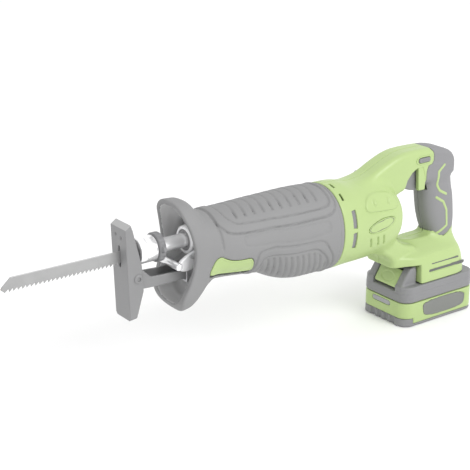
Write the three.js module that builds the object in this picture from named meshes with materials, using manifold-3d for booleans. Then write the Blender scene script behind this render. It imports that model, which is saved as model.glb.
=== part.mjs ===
// Cordless reciprocating saw as an assembly of separate solids, in millimetres, +Z up.
// Everything is drawn in the blade's own frame and then moved as one group:
// x = 0 at the shoe's front face, +X towards the blade tip, y = 0 in the blade, z = 0 at its middle.
import * as THREE from 'three';
import { mergeVertices } from 'three/addons/utils/BufferGeometryUtils.js';
import Module from 'manifold-3d';

const wasm = await Module();
wasm.setup();

// ---------------------------------------------------------------- driving dimensions
const GAP = 0.35; // air between neighbouring pieces
const BLADE = { tip: 126.4, thick: 1.3, top: 7.2, toothTip: -7.2, toothDepth: 3, pitch: 4.5, tang: -30 };
const CLAMP = { z: 2.7, front: -18.5, step: -39, rear: -47, radius: 13.5, hub: 9.5, collar: 15.2 };
const STROKE = 28;
const PLUNGER = { radius: 7.5, rearRadius: 5, rearEnd: -202 };
const CRANK = { x: -165, gearRadius: 26, top: -9, bottom: -14, pinTop: -5.2, axle: 5, foot: -39, teeth: 18 };
const SHOE = { half: 14.2, sheet: 2.2, pivotX: -13.5, pivotZ: -21 };
const MOTOR = { z: -18, shaft: 4, stator: 26, rotor: 14.8 };
const SEAM = -256; // rear edge of the rubber boot
const BOOT_WALL = 3.6;
const SHELL = 3; // wall of the plastic housing
const SKIN = 2.4; // rubber skin on the grip
const HEAD_HALF = 17; // half width of the handle's head
const FOOT = { half: 36.5, bottom: -107, step: -384, frontBottom: -84 };
const PACK = { front: -357.7, rear: -473.5, half: 38.1, corner: 14, top: -107.4, seam: -128, bottom: -157 };

const COLOURS = {
  steel: 0xa9abad, chrome: 0xe4e6e8, aluminium: 0xd2d4d6, rubber: 0x8f9093, black: 0x85868a,
  green: 0xbfe08a, paint: 0x808285, copper: 0xb87a4a, board: 0x3f6b4a, brass: 0xc9a85a, lens: 0x77797d,
};

// ---------------------------------------------------------------- solids
// A three.js geometry as a manifold solid that faces outwards.
function solid(geometry) {
  const bare = geometry.clone();
  for (const name of Object.keys(bare.attributes)) if (name !== 'position') bare.deleteAttribute(name);
  const welded = mergeVertices(bare, 1e-4);
  const data = {
    numProp: 3,
    vertProperties: new Float32Array(welded.attributes.position.array),
    triVerts: new Uint32Array(welded.index.array),
  };
  const made = new wasm.Manifold(new wasm.Mesh(data));
  if (made.volume() > 0) return made;
  data.triVerts.reverse();
  return new wasm.Manifold(new wasm.Mesh(data));
}

const join = (first, ...rest) => rest.reduce((sum, next) => sum.add(next), first);
const cut = (first, ...rest) => rest.reduce((sum, next) => sum.subtract(next), first);

function box(x0, x1, y0, y1, z0, z1) {
  const geometry = new THREE.BoxGeometry(x1 - x0, y1 - y0, z1 - z0);
  return solid(geometry.translate((x0 + x1) / 2, (y0 + y1) / 2, (z0 + z1) / 2));
}

// Round bars along each axis. The last values are the two coordinates of the axis.
const AXES = { x: [0, 0, -Math.PI / 2], y: [0, 0, 0], z: [Math.PI / 2, 0, 0] };
function rod(axis, from, to, radius, centre, sides = 20) {
  const geometry = new THREE.CylinderGeometry(radius, radius, to - from, sides);
  geometry.translate(0, (from + to) / 2, 0);
  const [turnX, , turnZ] = AXES[axis];
  geometry.rotateX(turnX).rotateZ(turnZ);
  const [a, b] = centre;
  const place = { x: [0, a, b], y: [a, 0, b], z: [a, b, 0] }[axis];
  return solid(geometry.translate(...place));
}

// A turned piece about a line along X: profile of [x, radius] pairs, closed on the axis.
function turned(profile, z, sides = 24) {
  const points = profile.map(([x, radius]) => new THREE.Vector2(radius, x));
  return solid(new THREE.LatheGeometry(points, sides).rotateZ(-Math.PI / 2).translate(0, 0, z));
}
const ring = (x0, x1, inner, outer, z, sides = 18) => cut(
  rod('x', x0, x1, outer, [0, z], sides), rod('x', x0 - 1, x1 + 1, inner, [0, z], sides));

const outline = (points) => new THREE.Shape(points.map(([a, b]) => new THREE.Vector2(a, b)));
const BASES = {
  side: new THREE.Matrix4().makeBasis(
    new THREE.Vector3(1, 0, 0), new THREE.Vector3(0, 0, 1), new THREE.Vector3(0, -1, 0)),
  front: new THREE.Matrix4().makeBasis(
    new THREE.Vector3(0, 1, 0), new THREE.Vector3(0, 0, 1), new THREE.Vector3(1, 0, 0)),
  top: new THREE.Matrix4(),
};

// A side view [x, z] given thickness between two y values, with optional rounded edges and inset.
function slab(points, y0, y1, { bevel = 0, inset = 0 } = {}) {
  const geometry = new THREE.ExtrudeGeometry(outline(points), {
    depth: y1 - y0 - 2 * bevel, bevelEnabled: bevel > 0, bevelThickness: bevel, bevelSize: bevel,
    bevelOffset: -bevel - inset, bevelSegments: 2, curveSegments: 6,
  });
  return solid(geometry.translate(0, 0, bevel - y1).applyMatrix4(BASES.side));
}

// A front view [y, z] drawn out between two x values.
function bar(points, x0, x1) {
  const geometry = new THREE.ExtrudeGeometry(outline(points), { depth: x1 - x0, bevelEnabled: false });
  return solid(geometry.applyMatrix4(BASES.front).translate(x0, 0, 0));
}

// A plan view with rounded corners, between two heights, with rounded top and bottom edges.
function block(x0, x1, half, corner, z0, z1, bevel = 0) {
  const shape = new THREE.Shape();
  shape.absarc(x1 - corner, half - corner, corner, 0, Math.PI / 2, false);
  shape.absarc(x0 + corner, half - corner, corner, Math.PI / 2, Math.PI, false);
  shape.absarc(x0 + corner, corner - half, corner, Math.PI, Math.PI * 1.5, false);
  shape.absarc(x1 - corner, corner - half, corner, Math.PI * 1.5, Math.PI * 2, false);
  const geometry = new THREE.ExtrudeGeometry(shape, {
    depth: z1 - z0 - 2 * bevel, bevelEnabled: bevel > 0, bevelThickness: bevel, bevelSize: bevel,
    bevelOffset: -bevel, bevelSegments: 2, curveSegments: 3,
  });
  return solid(geometry.translate(0, 0, z0 + bevel));
}

// A cylinder whose rings are bent to superellipse sections. Each station gives its place along the
// main axis, its two limits across it, its half width in Y and its squareness (2 is an ellipse).
function loft(axis, stations, { inset = 0, sides = 32 } = {}) {
  const rings = stations.length - 1;
  const geometry = new THREE.CylinderGeometry(1, 1, rings, sides, rings);
  const place = geometry.attributes.position;
  const bend = (value, square) => (
    Math.abs(value) < 1e-9 ? 0 : Math.sign(value) * Math.abs(value) ** (2 / square));
  for (let i = 0; i < place.count; i += 1) {
    const [along, high, low, half, square] = stations[Math.round(place.getY(i) + rings / 2)];
    const across = (half - inset) * bend(place.getX(i), square);
    const main = (high + low) / 2 + ((high - low) / 2 - inset) * bend(place.getZ(i), square);
    if (axis === 'x') place.setXYZ(i, along, across, main);
    else place.setXYZ(i, main, across, along);
  }
  return solid(geometry);
}

const hullHalf = { left: [GAP / 2, 90], right: [-90, -GAP / 2] };
const halfOf = (whole, side) => whole.intersect(box(-600, 200, ...hullHalf[side], -300, 200));

// ---------------------------------------------------------------- the assembly
const saw = new THREE.Group();
const MATERIALS = {
  steel: [COLOURS.steel, 0.4, 0.9], chrome: [COLOURS.chrome, 0.18, 1],
  aluminium: [COLOURS.aluminium, 0.35, 0.9],
  rubber: [COLOURS.rubber, 0.75, 0], black: [COLOURS.black, 0.55, 0], green: [COLOURS.green, 0.45, 0],
  paint: [COLOURS.paint, 0.45, 0.4], copper: [COLOURS.copper, 0.4, 0.8], board: [COLOURS.board, 0.6, 0],
  brass: [COLOURS.brass, 0.35, 0.9], lens: [COLOURS.lens, 0.15, 0],
};

function add(name, material, made) {
  const [color, roughness, metalness] = MATERIALS[material];
  const { vertProperties, triVerts } = made.getMesh();
  const geometry = new THREE.BufferGeometry();
  geometry.setAttribute('position', new THREE.Float32BufferAttribute(vertProperties, 3));
  geometry.setIndex(Array.from(triVerts));
  geometry.computeVertexNormals();
  const mesh = new THREE.Mesh(geometry, new THREE.MeshStandardMaterial({ color, roughness, metalness }));
  mesh.name = name;
  saw.add(mesh);
}

// ---------------------------------------------------------------- blade and its clamp
function makeBlade() {
  const { tip, top, toothTip, toothDepth, pitch, tang } = BLADE;
  const points = [[tang, top - 1], [tang + 3, top], [tip - 10.4, top], [tip, toothTip + 3.5]];
  const teeth = Math.floor((tip + 8) / pitch);
  for (let i = 0; i < teeth; i += 1) {
    const x = tip - 4 - i * pitch;
    points.push([x, toothTip], [x - pitch + 0.8, toothTip + toothDepth]);
  }
  points.push([tang, toothTip + toothDepth]);
  const plate = slab(points, -BLADE.thick / 2, BLADE.thick / 2);
  add('saw_blade', 'steel', cut(plate, rod('y', -2, 2, 2.6, [-25, 0], 12)));
}

function makeClamp() {
  const { z, front, step, rear, radius, hub, collar } = CLAMP;
  const sleeve = turned([
    [rear, 0], [rear, hub], [step, hub], [step, radius - 1], [step + 1, radius],
    [front - 2, radius], [front, radius - 2], [front, 0]], z);
  const slot = box(tangRear(), front + 1, -1.1, 1.1, -8.6, 8.6);
  add('blade_clamp_sleeve', 'chrome', cut(sleeve, slot, rod('y', -6, 20, 2.3, [-25, 0], 12)));
  add('blade_lock_pin', 'steel', rod('y', -4.5, 8, 1.9, [-25, 0], 12));

  const grooves = [];
  for (let i = 0; i < 12; i += 1) {
    const angle = (i / 12) * Math.PI * 2 + 0.1;
    const [y, high] = [Math.cos(angle) * (collar + 0.4), z + Math.sin(angle) * (collar + 0.4)];
    grooves.push(rod('x', rear + 1.2, step - 1.6, 1.1, [y, high], 6));
  }
  const tab = bar([[13, z - 4], [18.4, z - 3], [19, z + 1], [13, z + 5]], rear + 1.2, step - 1.6);
  const body = join(rod('x', rear + 0.2, step - GAP, collar, [0, z], 24), tab);
  const bore = rod('x', -60, -20, hub + 0.3, [0, z], 24);
  const pocket = rod('x', rear - 1, rear + 5, hub + 3.2, [0, z], 24);
  add('clamp_collar', 'black', cut(body, bore, pocket, ...grooves));
  const coil = new THREE.TorusGeometry(hub + 1.6, 1, 5, 14).rotateY(Math.PI / 2).translate(rear + 2.4, 0, z);
  add('clamp_spring', 'steel', solid(coil));
}
const tangRear = () => BLADE.tang - 0.5;

// ---------------------------------------------------------------- shoe
function makeShoe() {
  const { half, sheet, pivotX, pivotZ } = SHOE;
  const profile = [
    [0, 32], [-6.5, 36.5], [-9, 30], [-10.5, 23], [-18.2, -8], [-19.4, -35], [-11, -62.5], [-3, -64.5]];
  const hollow = [[-2.3, 30.7], [-8.2, 34.9], [-40, 34.9], [-40, -80], [-5.2, -80]];
  const corner = (side) => bar([[side * 7, -70], [side * 20, -70], [side * 20, -55]], -30, 5);
  const plate = cut(
    slab(profile, -half, half), slab(hollow, sheet - half, half - sheet),
    box(-8, 1, -2.6, 2.6, -13, 13), rod('y', -20, 20, 3.3, [pivotX, pivotZ]), corner(1), corner(-1));
  add('shoe_plate', 'paint', plate);

  const outer = half - sheet - GAP;
  const side = [
    [pivotX + 8, pivotZ - 3], [pivotX + 8, pivotZ + 3], [pivotX + 3, pivotZ + 8], [-20, -13], [-27, -20.5],
    [-31, -23.7], [-99, -25], [-99, -34.7], [-16, -34.7], [pivotX + 1, pivotZ - 9]];
  const arm = cut(
    slab(side, -outer, outer), box(-120, 0, sheet - outer, outer - sheet, -32.5, 0),
    box(-14, 0, sheet - outer, outer - sheet, -60, 0), rod('y', -20, 20, 3.3, [pivotX, pivotZ]));
  add('shoe_arm', 'paint', arm);

  const shank = rod('y', -half - 0.6, half + 0.6, 3, [pivotX, pivotZ]);
  const head = (y) => rod('y', y - 0.6, y + 0.6, 5, [pivotX, pivotZ]);
  const edge = half + GAP + 0.6;
  add('shoe_pivot_pin', 'steel', join(shank, head(edge), head(-edge)));

  const bracket = cut(
    box(-94, -70, -14.6, 14.6, -38, -23.7), box(-120, 0, -outer - 0.4, outer + 0.4, -35.1, 0));
  add('shoe_guide_bracket', 'steel', bracket);
}

// ---------------------------------------------------------------- gearbox and drive
// Rubber boot outside: [x, top, bottom, half width, squareness].
const BOOT = [
  [-50, 47, -69, 33, 3], [-62, 47.8, -69.5, 34, 2.8], [-70, 47.7, -69, 34.3, 2.6],
  [-76, 45.5, -66.5, 34.6, 2.4], [-82, 39.5, -60.8, 34.9, 2.25], [-87, 34, -54, 35.3, 2.15],
  [-92, 31.2, -48.6, 36, 2.1], [-98, 30.8, -45, 37, 2], [-104, 30.8, -43.8, 38, 2],
  [-110, 30.9, -44, 39, 2], [-135, 31.3, -46.4, 41, 2], [-150, 31.8, -48.6, 41.6, 2],
  [-162, 32.2, -50.8, 42.2, 2], [-172, 32.5, -55.6, 42.7, 2], [-183, 32.8, -60.8, 43.2, 2],
  [-196, 33, -65, 43.7, 2.05], [-212, 33, -67.2, 44, 2.1], [-230, 32.5, -67.7, 44, 2.1],
  [-246, 31.3, -67.8, 44, 2.1], [SEAM, 30, -67.5, 43.9, 2.1]];
// Front edge of the guard, seen from the side: the lips reach forward, the sides stand back.
const RIM = [
  [-57, 52], [-59, 44], [-61, 34], [-65, 24], [-69, 7], [-70, -3], [-68, -18], [-62, -36], [-56, -50],
  [-57, -60], [-62, -69], [-68, -76], [0, -90], [0, 60]];
const LEVER = [
  [-86.5, -26.5], [-88, -21], [-92.5, -12], [-98.5, -9.7], [-102.5, -12.5], [-111, -16.5], [-123, -18.3],
  [-133.5, -17.8], [-137.5, -21.8], [-140, -30], [-141, -36], [-125, -34.5], [-103, -31.5], [-88, -29.5]];

const reach = (stations, from, to) => {
  const inside = stations.filter(([x]) => x < from && x > to);
  const at = (x) => {
    const next = stations.findIndex(([place]) => place <= x);
    const [a, b] = [stations[next - 1], stations[next]];
    const share = (x - a[0]) / (b[0] - a[0]);
    return a.map((value, i) => value + (b[i] - value) * share);
  };
  return [at(from), ...inside, at(to)];
};

function makeBoot() {
  const outside = loft('x', BOOT, { sides: 28 });
  const inside = loft('x', [[-40, ...BOOT[0].slice(1)], ...BOOT.slice(1, -1), [-260, 30, -67.5, 43.9, 2.1]],
    { inset: BOOT_WALL, sides: 14 });
  const window = slab(LEVER, 10, 60);
  // The lever's lower edge swings down as it flips out, so the window is longer there.
  const room = [[0.4, 0], [-0.4, 0], [0, 1], [0.4, -1], [-0.4, -1], [0.4, -2], [-0.4, -2]];
  const frame = join(...room.map(([x, z]) => window.translate([x, 0, z])));
  add('front_boot', 'rubber', cut(outside, inside, slab(RIM, -80, 80), frame));
  const leverBody = outside.intersect(window).subtract(loft('x', BOOT, { inset: 3, sides: 28 }));
  add('shoe_release_lever', 'green', leverBody);
}

function makeGearbox() {
  const { z } = CLAMP;
  const nose = turned([
    [-77, 11.3], [-77, 13.5], [-78, 14.5], [-90, 15.5], [-93, 22], [-102.6, 22], [-102.6, 11.3],
    [-77, 11.3]], z);
  const cheek = (y0, y1) => slab(
    [[-54, -20], [-54, -13], [-58, -9], [-74, -4], [-94, -2], [-94, -12], [-74, -23], [-58, -23]], y0, y1);
  const pinHole = rod('y', -30, 30, 4.1, [-58, -16.9], 16);
  const screwPlaces = [[-15.5, z + 9], [15.5, z + 9]];
  const screwHoles = screwPlaces.map((centre) => rod('x', -96.5, -80, 3.4, centre, 12));
  const casting = join(nose, cheek(15.8, 20), cheek(-20, -15.8));
  add('gearbox_nose', 'aluminium', cut(casting, pinHole, ...screwHoles));
  add('shoe_lock_pin', 'chrome', rod('y', -21, 21, 3.8, [-58, -16.9], 16));
  screwPlaces.forEach((centre, i) => {
    const socket = rod('x', -92.8, -90, 1.4, centre, 6);
    add(`gearbox_screw_${i + 1}`, 'steel', cut(rod('x', -96, -91, 3, centre, 12), socket));
  });
  add('wiper_seal', 'rubber', ring(-80.2, -77.4, PLUNGER.radius + 0.3, 10.9, z));
  add('front_bushing', 'brass', ring(-99.5, -80.6, PLUNGER.radius + 0.3, 10.9, z));

  const caseStations = reach(BOOT, -103, -252);
  const shell = loft('x', caseStations, { inset: BOOT_WALL + 0.5, sides: 14 });
  const thinned = reach(BOOT, -107, -251.9).filter((_, i) => i % 2 === 0);
  const cavity = loft('x', thinned.concat([[-260, 30, -67.5, 43.9, 2.1]]),
    { inset: BOOT_WALL + 3.6, sides: 12 });
  const plungerHole = rod('x', -120, -90, PLUNGER.radius + 1.2, [0, z]);
  const boss = rod('z', -50, CRANK.foot - GAP, 9, [CRANK.x, 0], 12).intersect(shell);
  add('gearbox_case', 'aluminium', join(cut(shell, cavity, plungerHole), boss));
}

function makeDrive() {
  const { z } = CLAMP;
  const yokeX = CRANK.x + STROKE / 2;
  const yoke = cut(
    box(yokeX - 8, yokeX + 8, -21, 21, -4.3, 9), box(yokeX - 4.5, yokeX + 4.5, -18, 18, -5, 3));
  const plunger = join(
    rod('x', yokeX + 7, CLAMP.rear - GAP, PLUNGER.radius, [0, z], 24), yoke,
    rod('x', PLUNGER.rearEnd, yokeX - 7, PLUNGER.rearRadius, [0, z]));
  add('plunger', 'chrome', plunger);
  add('rear_bushing', 'brass', ring(-200, -191, PLUNGER.rearRadius + 0.3, 8.5, z));

  const wheel = rod('z', CRANK.bottom + 2.5, CRANK.top, CRANK.gearRadius, [CRANK.x, 0], 28);
  const teeth = [];
  for (let i = 0; i < CRANK.teeth; i += 1) {
    const tooth = box(18, 25, -1, 1, CRANK.bottom, CRANK.bottom + 3);
    teeth.push(tooth.rotate([0, 0, ((i + 0.5) * 360) / CRANK.teeth]).translate([CRANK.x, 0, 0]));
  }
  const boss = rod('z', CRANK.bottom, CRANK.bottom + 3, 9, [CRANK.x, 0]);
  const bore = rod('z', -30, 0, CRANK.axle + 0.3, [CRANK.x, 0]);
  const pinHole = rod('z', CRANK.top - 3, 5, 4.3, [yokeX, 0], 16);
  add('crank_gear', 'steel', cut(join(wheel, boss, ...teeth), bore, pinHole));
  add('crank_pin', 'chrome', rod('z', CRANK.top - 2.7, CRANK.pinTop, 4, [yokeX, 0], 16));
  const axle = join(
    rod('z', CRANK.foot, CRANK.top, CRANK.axle, [CRANK.x, 0]),
    rod('z', CRANK.foot, CRANK.foot + 3, 9, [CRANK.x, 0]));
  add('crank_axle', 'steel', axle);
  const bearing = cut(
    rod('z', -24, CRANK.bottom - GAP, 10, [CRANK.x, 0]), rod('z', -30, -10, CRANK.axle + 0.3, [CRANK.x, 0]));
  add('crank_bearing', 'steel', bearing);

  const flutes = [];
  for (let i = 0; i < 6; i += 1) {
    const angle = (i / 6) * Math.PI * 2;
    const centre = [Math.cos(angle) * 4.2, MOTOR.z + Math.sin(angle) * 4.2];
    flutes.push(rod('x', -195, -180, 1, centre, 6));
  }
  add('motor_pinion', 'steel', cut(rod('x', -196, -181, 3.6, [0, MOTOR.z], 18), ...flutes));
  add('rotor', 'steel', join(
    rod('x', -331, -196.4, MOTOR.shaft, [0, MOTOR.z], 16), rod('x', -302, -266, MOTOR.rotor, [0, MOTOR.z])));
  const stator = ring(-300, -268, MOTOR.rotor + 0.7, MOTOR.stator, MOTOR.z);
  const windings = ring(-303, -265, MOTOR.rotor + 2, MOTOR.stator - 4, MOTOR.z);
  add('stator', 'copper', join(stator, windings));
  add('front_rotor_bearing', 'steel', ring(-260, -254, MOTOR.shaft + 0.3, 9.5, MOTOR.z));
  add('rear_rotor_bearing', 'steel', ring(-329, -322, MOTOR.shaft + 0.3, 9.5, MOTOR.z));
  const vanes = [];
  for (let i = 0; i < 9; i += 1) {
    const vane = box(-316, -307, -0.9, 0.9, 8, 29).rotate([i * 40, 0, 0]);
    vanes.push(vane.translate([0, 0, MOTOR.z]));
  }
  const hub = join(rod('x', -308, -305, 29, [0, MOTOR.z]), rod('x', -317, -306, 9, [0, MOTOR.z]), ...vanes);
  add('cooling_fan', 'black', cut(hub, rod('x', -320, -300, MOTOR.shaft + 0.3, [0, MOTOR.z])));
}

// ---------------------------------------------------------------- housing
// Motor drum: [x, top, bottom, half width, squareness].
const DRUM = [
  [SEAM - GAP, 30.3, -67.5, 43.8, 2.1], [-274, 30, -66.8, 43.4, 2.1], [-290, 27.3, -66, 42.6, 2.2],
  [-311, 26.3, -65, 41.2, 2.3], [-330, 23, -62, 39.2, 2.4], [-343, 17, -57, 37, 2.4],
  [-351, 9, -50, 33.5, 2.3], [-355.5, -1, -42, 26, 2.2]];
// Top arm and the head above the trigger, side view.
const HEAD = [
  [-300, -8], [-300, 20], [-314, 28], [-329, 35.5], [-343.5, 42], [-358.5, 47.3], [-374, 49.5], [-405, 49],
  [-422, 47.5], [-438, 43], [-448, 36], [-451, 25], [-449.5, 10], [-399, 6], [-369, 4], [-350, -4],
  [-330, -8]];
const TRIGGER_BAY = [[-400, -20], [-400, 28], [-383.5, 28], [-369, 12], [-366, -20]];
// Grip: [z, front, rear, half width, squareness].
const GRIP = [
  [24, -402, -449.5, 16.4, 2.6], [0, -405, -452.5, 16.8, 2.5], [-17, -407, -457, 17.2, 2.4],
  [-33, -410, -459, 17.2, 2.4], [-46, -414, -460, 16.8, 2.4], [-60, -419, -459.5, 16.4, 2.4],
  [-72, -419, -459.5, 17, 2.6]];
const FOOT_LOFT = [
  [-61, -376, -452, 13, 3], [-68, -364, -456, 22, 3.4], [-76, -353, -458.5, 32, 4.2],
  [-86, -350, -460, 35.2, 5], [FOOT.bottom, -350, -461, FOOT.half, 6]];
const STRUT = [
  [-318, -48], [-325, -60], [-338, -67], [-349, -75], [-351, -84], [-388, -84], [-388, -64],
  [-368, -59], [-356, -50], [-346, -38]];
// Side view of what the rubber skin covers.
const SKIN_ZONE = [
  [-404, 60], [-408, 48], [-412.5, 43], [-412.5, 30.5], [-402, 28], [-402, 2], [-396, -5], [-390, -10],
  [-390, -50], [-401, -54], [-413, -62], [-427, -66], [-442, -62], [-448, -57], [-475, -50], [-475, 60]];
const BUTTON = { x0: -406, x1: -388, z0: 34, z1: 39.6, half: 18.8, travel: 3 };
const TRIGGER = [
  [-400.5, 24.5], [-386, 25], [-370.5, 9.5], [-371, 6.5], [-380, 1.8], [-393, -1], [-400.5, -1.5]];
const HOUSING_SCREWS = [
  [-276, 16], [-276, -52], [-338, 20], [-366, 30], [-437, 28], [-440, -40], [-372, -74]];

const pill = (x0, x1, y0, y1, z0, z1, grow = 0) => {
  const radius = (z1 - z0) / 2 + grow;
  const z = (z0 + z1) / 2;
  const ends = [x0 + radius - grow, x1 - radius + grow].map((x) => rod('y', y0, y1, radius, [x, z], 12));
  return join(ends[0], ends[1], box(x0 + radius - grow, x1 - radius + grow, y0, y1, z - radius, z + radius));
};

function makeHandle() {
  const bay = slab(TRIGGER_BAY, -60, 60);
  const head = (inset) => slab(HEAD, inset - HEAD_HALF, HEAD_HALF - inset, { bevel: 7, inset }).subtract(bay);
  const grip = (inset) => loft('z', GRIP, { inset, sides: 20 });
  const body = join(head(0), grip(0));
  const zone = slab(SKIN_ZONE, -60, 60);
  const core = join(head(SKIN + GAP), grip(SKIN + GAP));
  const coreFace = join(head(SKIN), grip(SKIN));

  const foot = cut(
    loft('z', FOOT_LOFT, { sides: 24 }), box(FOOT.step, -300, -60, 60, -130, FOOT.frontBottom),
    box(-452, -300, -25.6, 25.6, -103, -91), box(-452, -300, -20.6, 20.6, -130, -100));
  const strut = slab(STRUT, -24, 24, { bevel: 6 });
  const drum = loft('x', DRUM, { sides: 28 });
  const skinRoom = cut(join(head(-GAP), grip(-GAP)).intersect(zone), core);
  const shell = cut(join(body, foot, strut, drum), skinRoom);

  const drumHollow = loft('x', [[-240, ...DRUM[0].slice(1)], ...DRUM.slice(0, -1), [-352, 4, -46, 31, 2.2]],
    { inset: SHELL, sides: 16 });
  const gripHollow = loft('z', GRIP, { inset: SKIN + GAP + 2.6, sides: 12 });
  const headHollow = slab(HEAD, 6 - HEAD_HALF, HEAD_HALF - 6, { bevel: 4, inset: 5.5 });
  const footHollow = loft('z', [[-66, -382, -448, 15, 3], [-76, -362, -452, 27, 4], [-87, -362, -452, 30, 5]],
    { sides: 16 });
  const duct = box(-440, -420, -9, 9, -75, -55);
  const strutHollow = slab(STRUT, -19, 19, { bevel: 3, inset: 4.5 });
  const hollows = join(drumHollow, gripHollow, headHollow, footHollow, duct, strutHollow);

  const vents = [];
  for (const side of [1, -1]) {
    for (const [low, high] of [[-13, 6], [-36, -18]]) {
      const slit = [[-275, high], [-268.5, high - 1], [-268.5, low + 1], [-275, low]];
      vents.push(slab(slit, side * 50 - 15, side * 50 + 15));
    }
  }
  const triggerPath = box(-414, -399, -11, 11, -3, 27);
  const buttonPath = pill(BUTTON.x0, BUTTON.x1, -40, 40, BUTTON.z0, BUTTON.z1, 0.4);
  const holes = HOUSING_SCREWS.map((centre) => rod('y', -60, -10, 3.4, centre, 8));
  const whole = cut(shell, hollows, triggerPath, buttonPath, ...vents);
  const badge = badgeShape(0.3);
  add('motor_housing_left', 'green', cut(halfOf(whole, 'left'), badge));
  add('motor_housing_right', 'green', cut(halfOf(whole, 'right'), ...holes));

  const skinZone = [[-GAP, 0], [0, GAP], [-GAP, -GAP]].reduce(
    (kept, [x, z]) => kept.intersect(zone.translate([x, 0, z])), zone);
  const skin = cut(body.intersect(skinZone), coreFace, triggerPath, buttonPath);
  add('grip_overmould_left', 'rubber', halfOf(skin, 'left'));
  add('grip_overmould_right', 'rubber', cut(halfOf(skin, 'right'), ...holes));

  const badgeBody = cut(badgeShape(0).intersect(drum), loft('x', DRUM, { inset: 1.1, sides: 28 }));
  add('badge_plate', 'green', badgeBody);
  HOUSING_SCREWS.forEach((centre, i) => {
    const wide = i < 2 ? 30 : [33, 12, 9, 9.5, 30][i - 2];
    add(`housing_screw_${i + 1}`, 'steel', rod('y', -wide - 3, -wide + 1.5, 2.9, centre, 8));
  });
}

function badgeShape(grow) {
  const oval = new THREE.CylinderGeometry(1, 1, 20, 28);
  oval.scale(21 + grow, 1, 7 + grow).rotateY(0.12).translate(-313.5, 50 - grow, -18.5);
  const clear = loft('x', DRUM, { inset: 1.1 + grow, sides: 28 });
  return cut(solid(oval), clear);
}

function makeControls() {
  const trigger = slab(TRIGGER, -10, 10, { bevel: 1.5 });
  add('trigger', 'black', trigger);
  const spring = rod('x', -415.6, -400.9, 3, [0, 12], 8);
  add('trigger_spring', 'steel', spring);
  add('switch_module', 'black', box(-436, -416, -8, 8, -4, 24));
  const { x0, x1, z0, z1, half } = BUTTON;
  add('lock_button', 'black', pill(x0, x1, -half, half, z0, z1));
  add('controller_board', 'board', box(-446, -368, -20, 20, -84, -80));
}

// ---------------------------------------------------------------- battery
function makeTerminals() {
  add('terminal_block', 'black', box(-451.6, -446.6, -18, 18, -101, -93));
  for (const [name, y] of [['terminal_plus', 12], ['terminal_minus', -12]]) {
    add(name, 'brass', box(-446.2, -434, y - 0.5, y + 0.5, -100.5, -94.5));
  }
}

function makeBattery() {
  const { front, rear, half, corner, top, seam, bottom } = PACK;
  const cell = 18.4;
  const firstCell = rear + 15.7;
  const upper = block(rear, front, half, corner, seam + 0.2, top, 2.4);
  const tongue = join(box(-446, -380, -25, 25, -102.6, -94), box(-446, -380, -20, 20, -109, -98));
  const hump = slab([[-359, -112], [-359, -108], [-371, -90], [-376, -86.5], [-383.2, -86.5], [-383.2, -112]],
    -29, 29, { bevel: 2 });
  const slots = [12, -12].map((y) => box(-447, -430, y - 1.2, y + 1.2, -101.3, -93));
  const pocket = slab([[-350, -118], [-350, -84], [-376, -84], [-376, -97], [-366, -114]], -18.5, 18.5);
  const room = block(rear + 3, front - 13, half - 3, corner - 3, seam - 1, top - 3);
  const hull = cut(join(upper, hump), room).subtract(pocket);
  add('battery_upper_shell', 'black', hull.add(cut(tongue, ...slots)));

  const bumperTop = -147;
  const lower = block(rear, front, half, corner, bottom + 3.4, seam - 0.15, 0);
  const lowerRoom = block(rear + 3, front - 5, half - 3, corner - 3, bottom + 6, seam + 1);
  const lens = box(front - 1.6, front + 5, -18, 12, -136, -130.5);
  const labelDepth = (side, grow) => (side > 0 ? [half - 1 - grow, 60] : [-60, 1 - half + grow]);
  const label = (side, grow) => box(
    -456.5 - grow, -387 + grow, ...labelDepth(side, grow), -149.8 - grow, -129.8 + grow);
  const chinCut = box(front - 14.4, front + 5, -60, 60, bottom, bumperTop);
  const lensCut = box(front - 2, front + 5, -18.4, 12.4, -136.4, -130.1);
  add('battery_lower_shell', 'green', cut(lower, lowerRoom, chinCut, lensCut, label(1, 0.3), label(-1, 0.3)));
  for (const [name, side] of [['label_panel_left', 1], ['label_panel_right', -1]]) {
    add(name, 'black', lower.intersect(label(side, 0)));
  }
  add('charge_gauge_lens', 'lens', lower.intersect(lens));

  const base = block(rear, front, half, corner, bottom, bottom + 3.1, 1.5);
  const chin = block(front - 40, front, half, corner, bottom + 1, bumperTop - GAP, 0);
  const notches = [-16.5, -5.5, 5.5, 16.5].map(
    (y) => rod('z', bottom - 5, bumperTop + 5, 4.4, [front + 2, y], 8));
  const chinFront = chin.intersect(box(front - 14, front + 5, -60, 60, -170, -100));
  add('battery_bumper', 'black', cut(join(base, chinFront), ...notches));

  const cells = [];
  for (let row = 0; row < 2; row += 1) {
    for (let i = 0; i < 5; i += 1) {
      const centre = [firstCell + i * cell, -141.4 + row * cell];
      cells.push(rod('y', -31, 31, 9, centre, 8));
    }
  }
  const carrier = (y) => box(firstCell - 7, firstCell + 4 * cell + 7, y - 1, y + 1, -149, -115);
  add('cell_pack', 'steel', join(...cells, carrier(26), carrier(-26)));
  add('battery_board', 'board', box(-440, -390, -20, 20, -112.6, -111.2));

  const button = slab([[-360.4, -112.5], [-359.9, -109.5], [-371.2, -92], [-371.8, -97], [-363.5, -112]],
    -17.8, 17.8);
  add('latch_button', 'green', button);
}

makeBlade();
makeClamp();
makeShoe();
makeBoot();
makeGearbox();
makeDrive();
makeHandle();
makeControls();
makeTerminals();
makeBattery();

saw.position.set(-(BLADE.tip + PACK.rear) / 2, 0, -PACK.bottom);
const assembly = new THREE.Group();
assembly.add(saw);
export default assembly;
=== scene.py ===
import math

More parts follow.
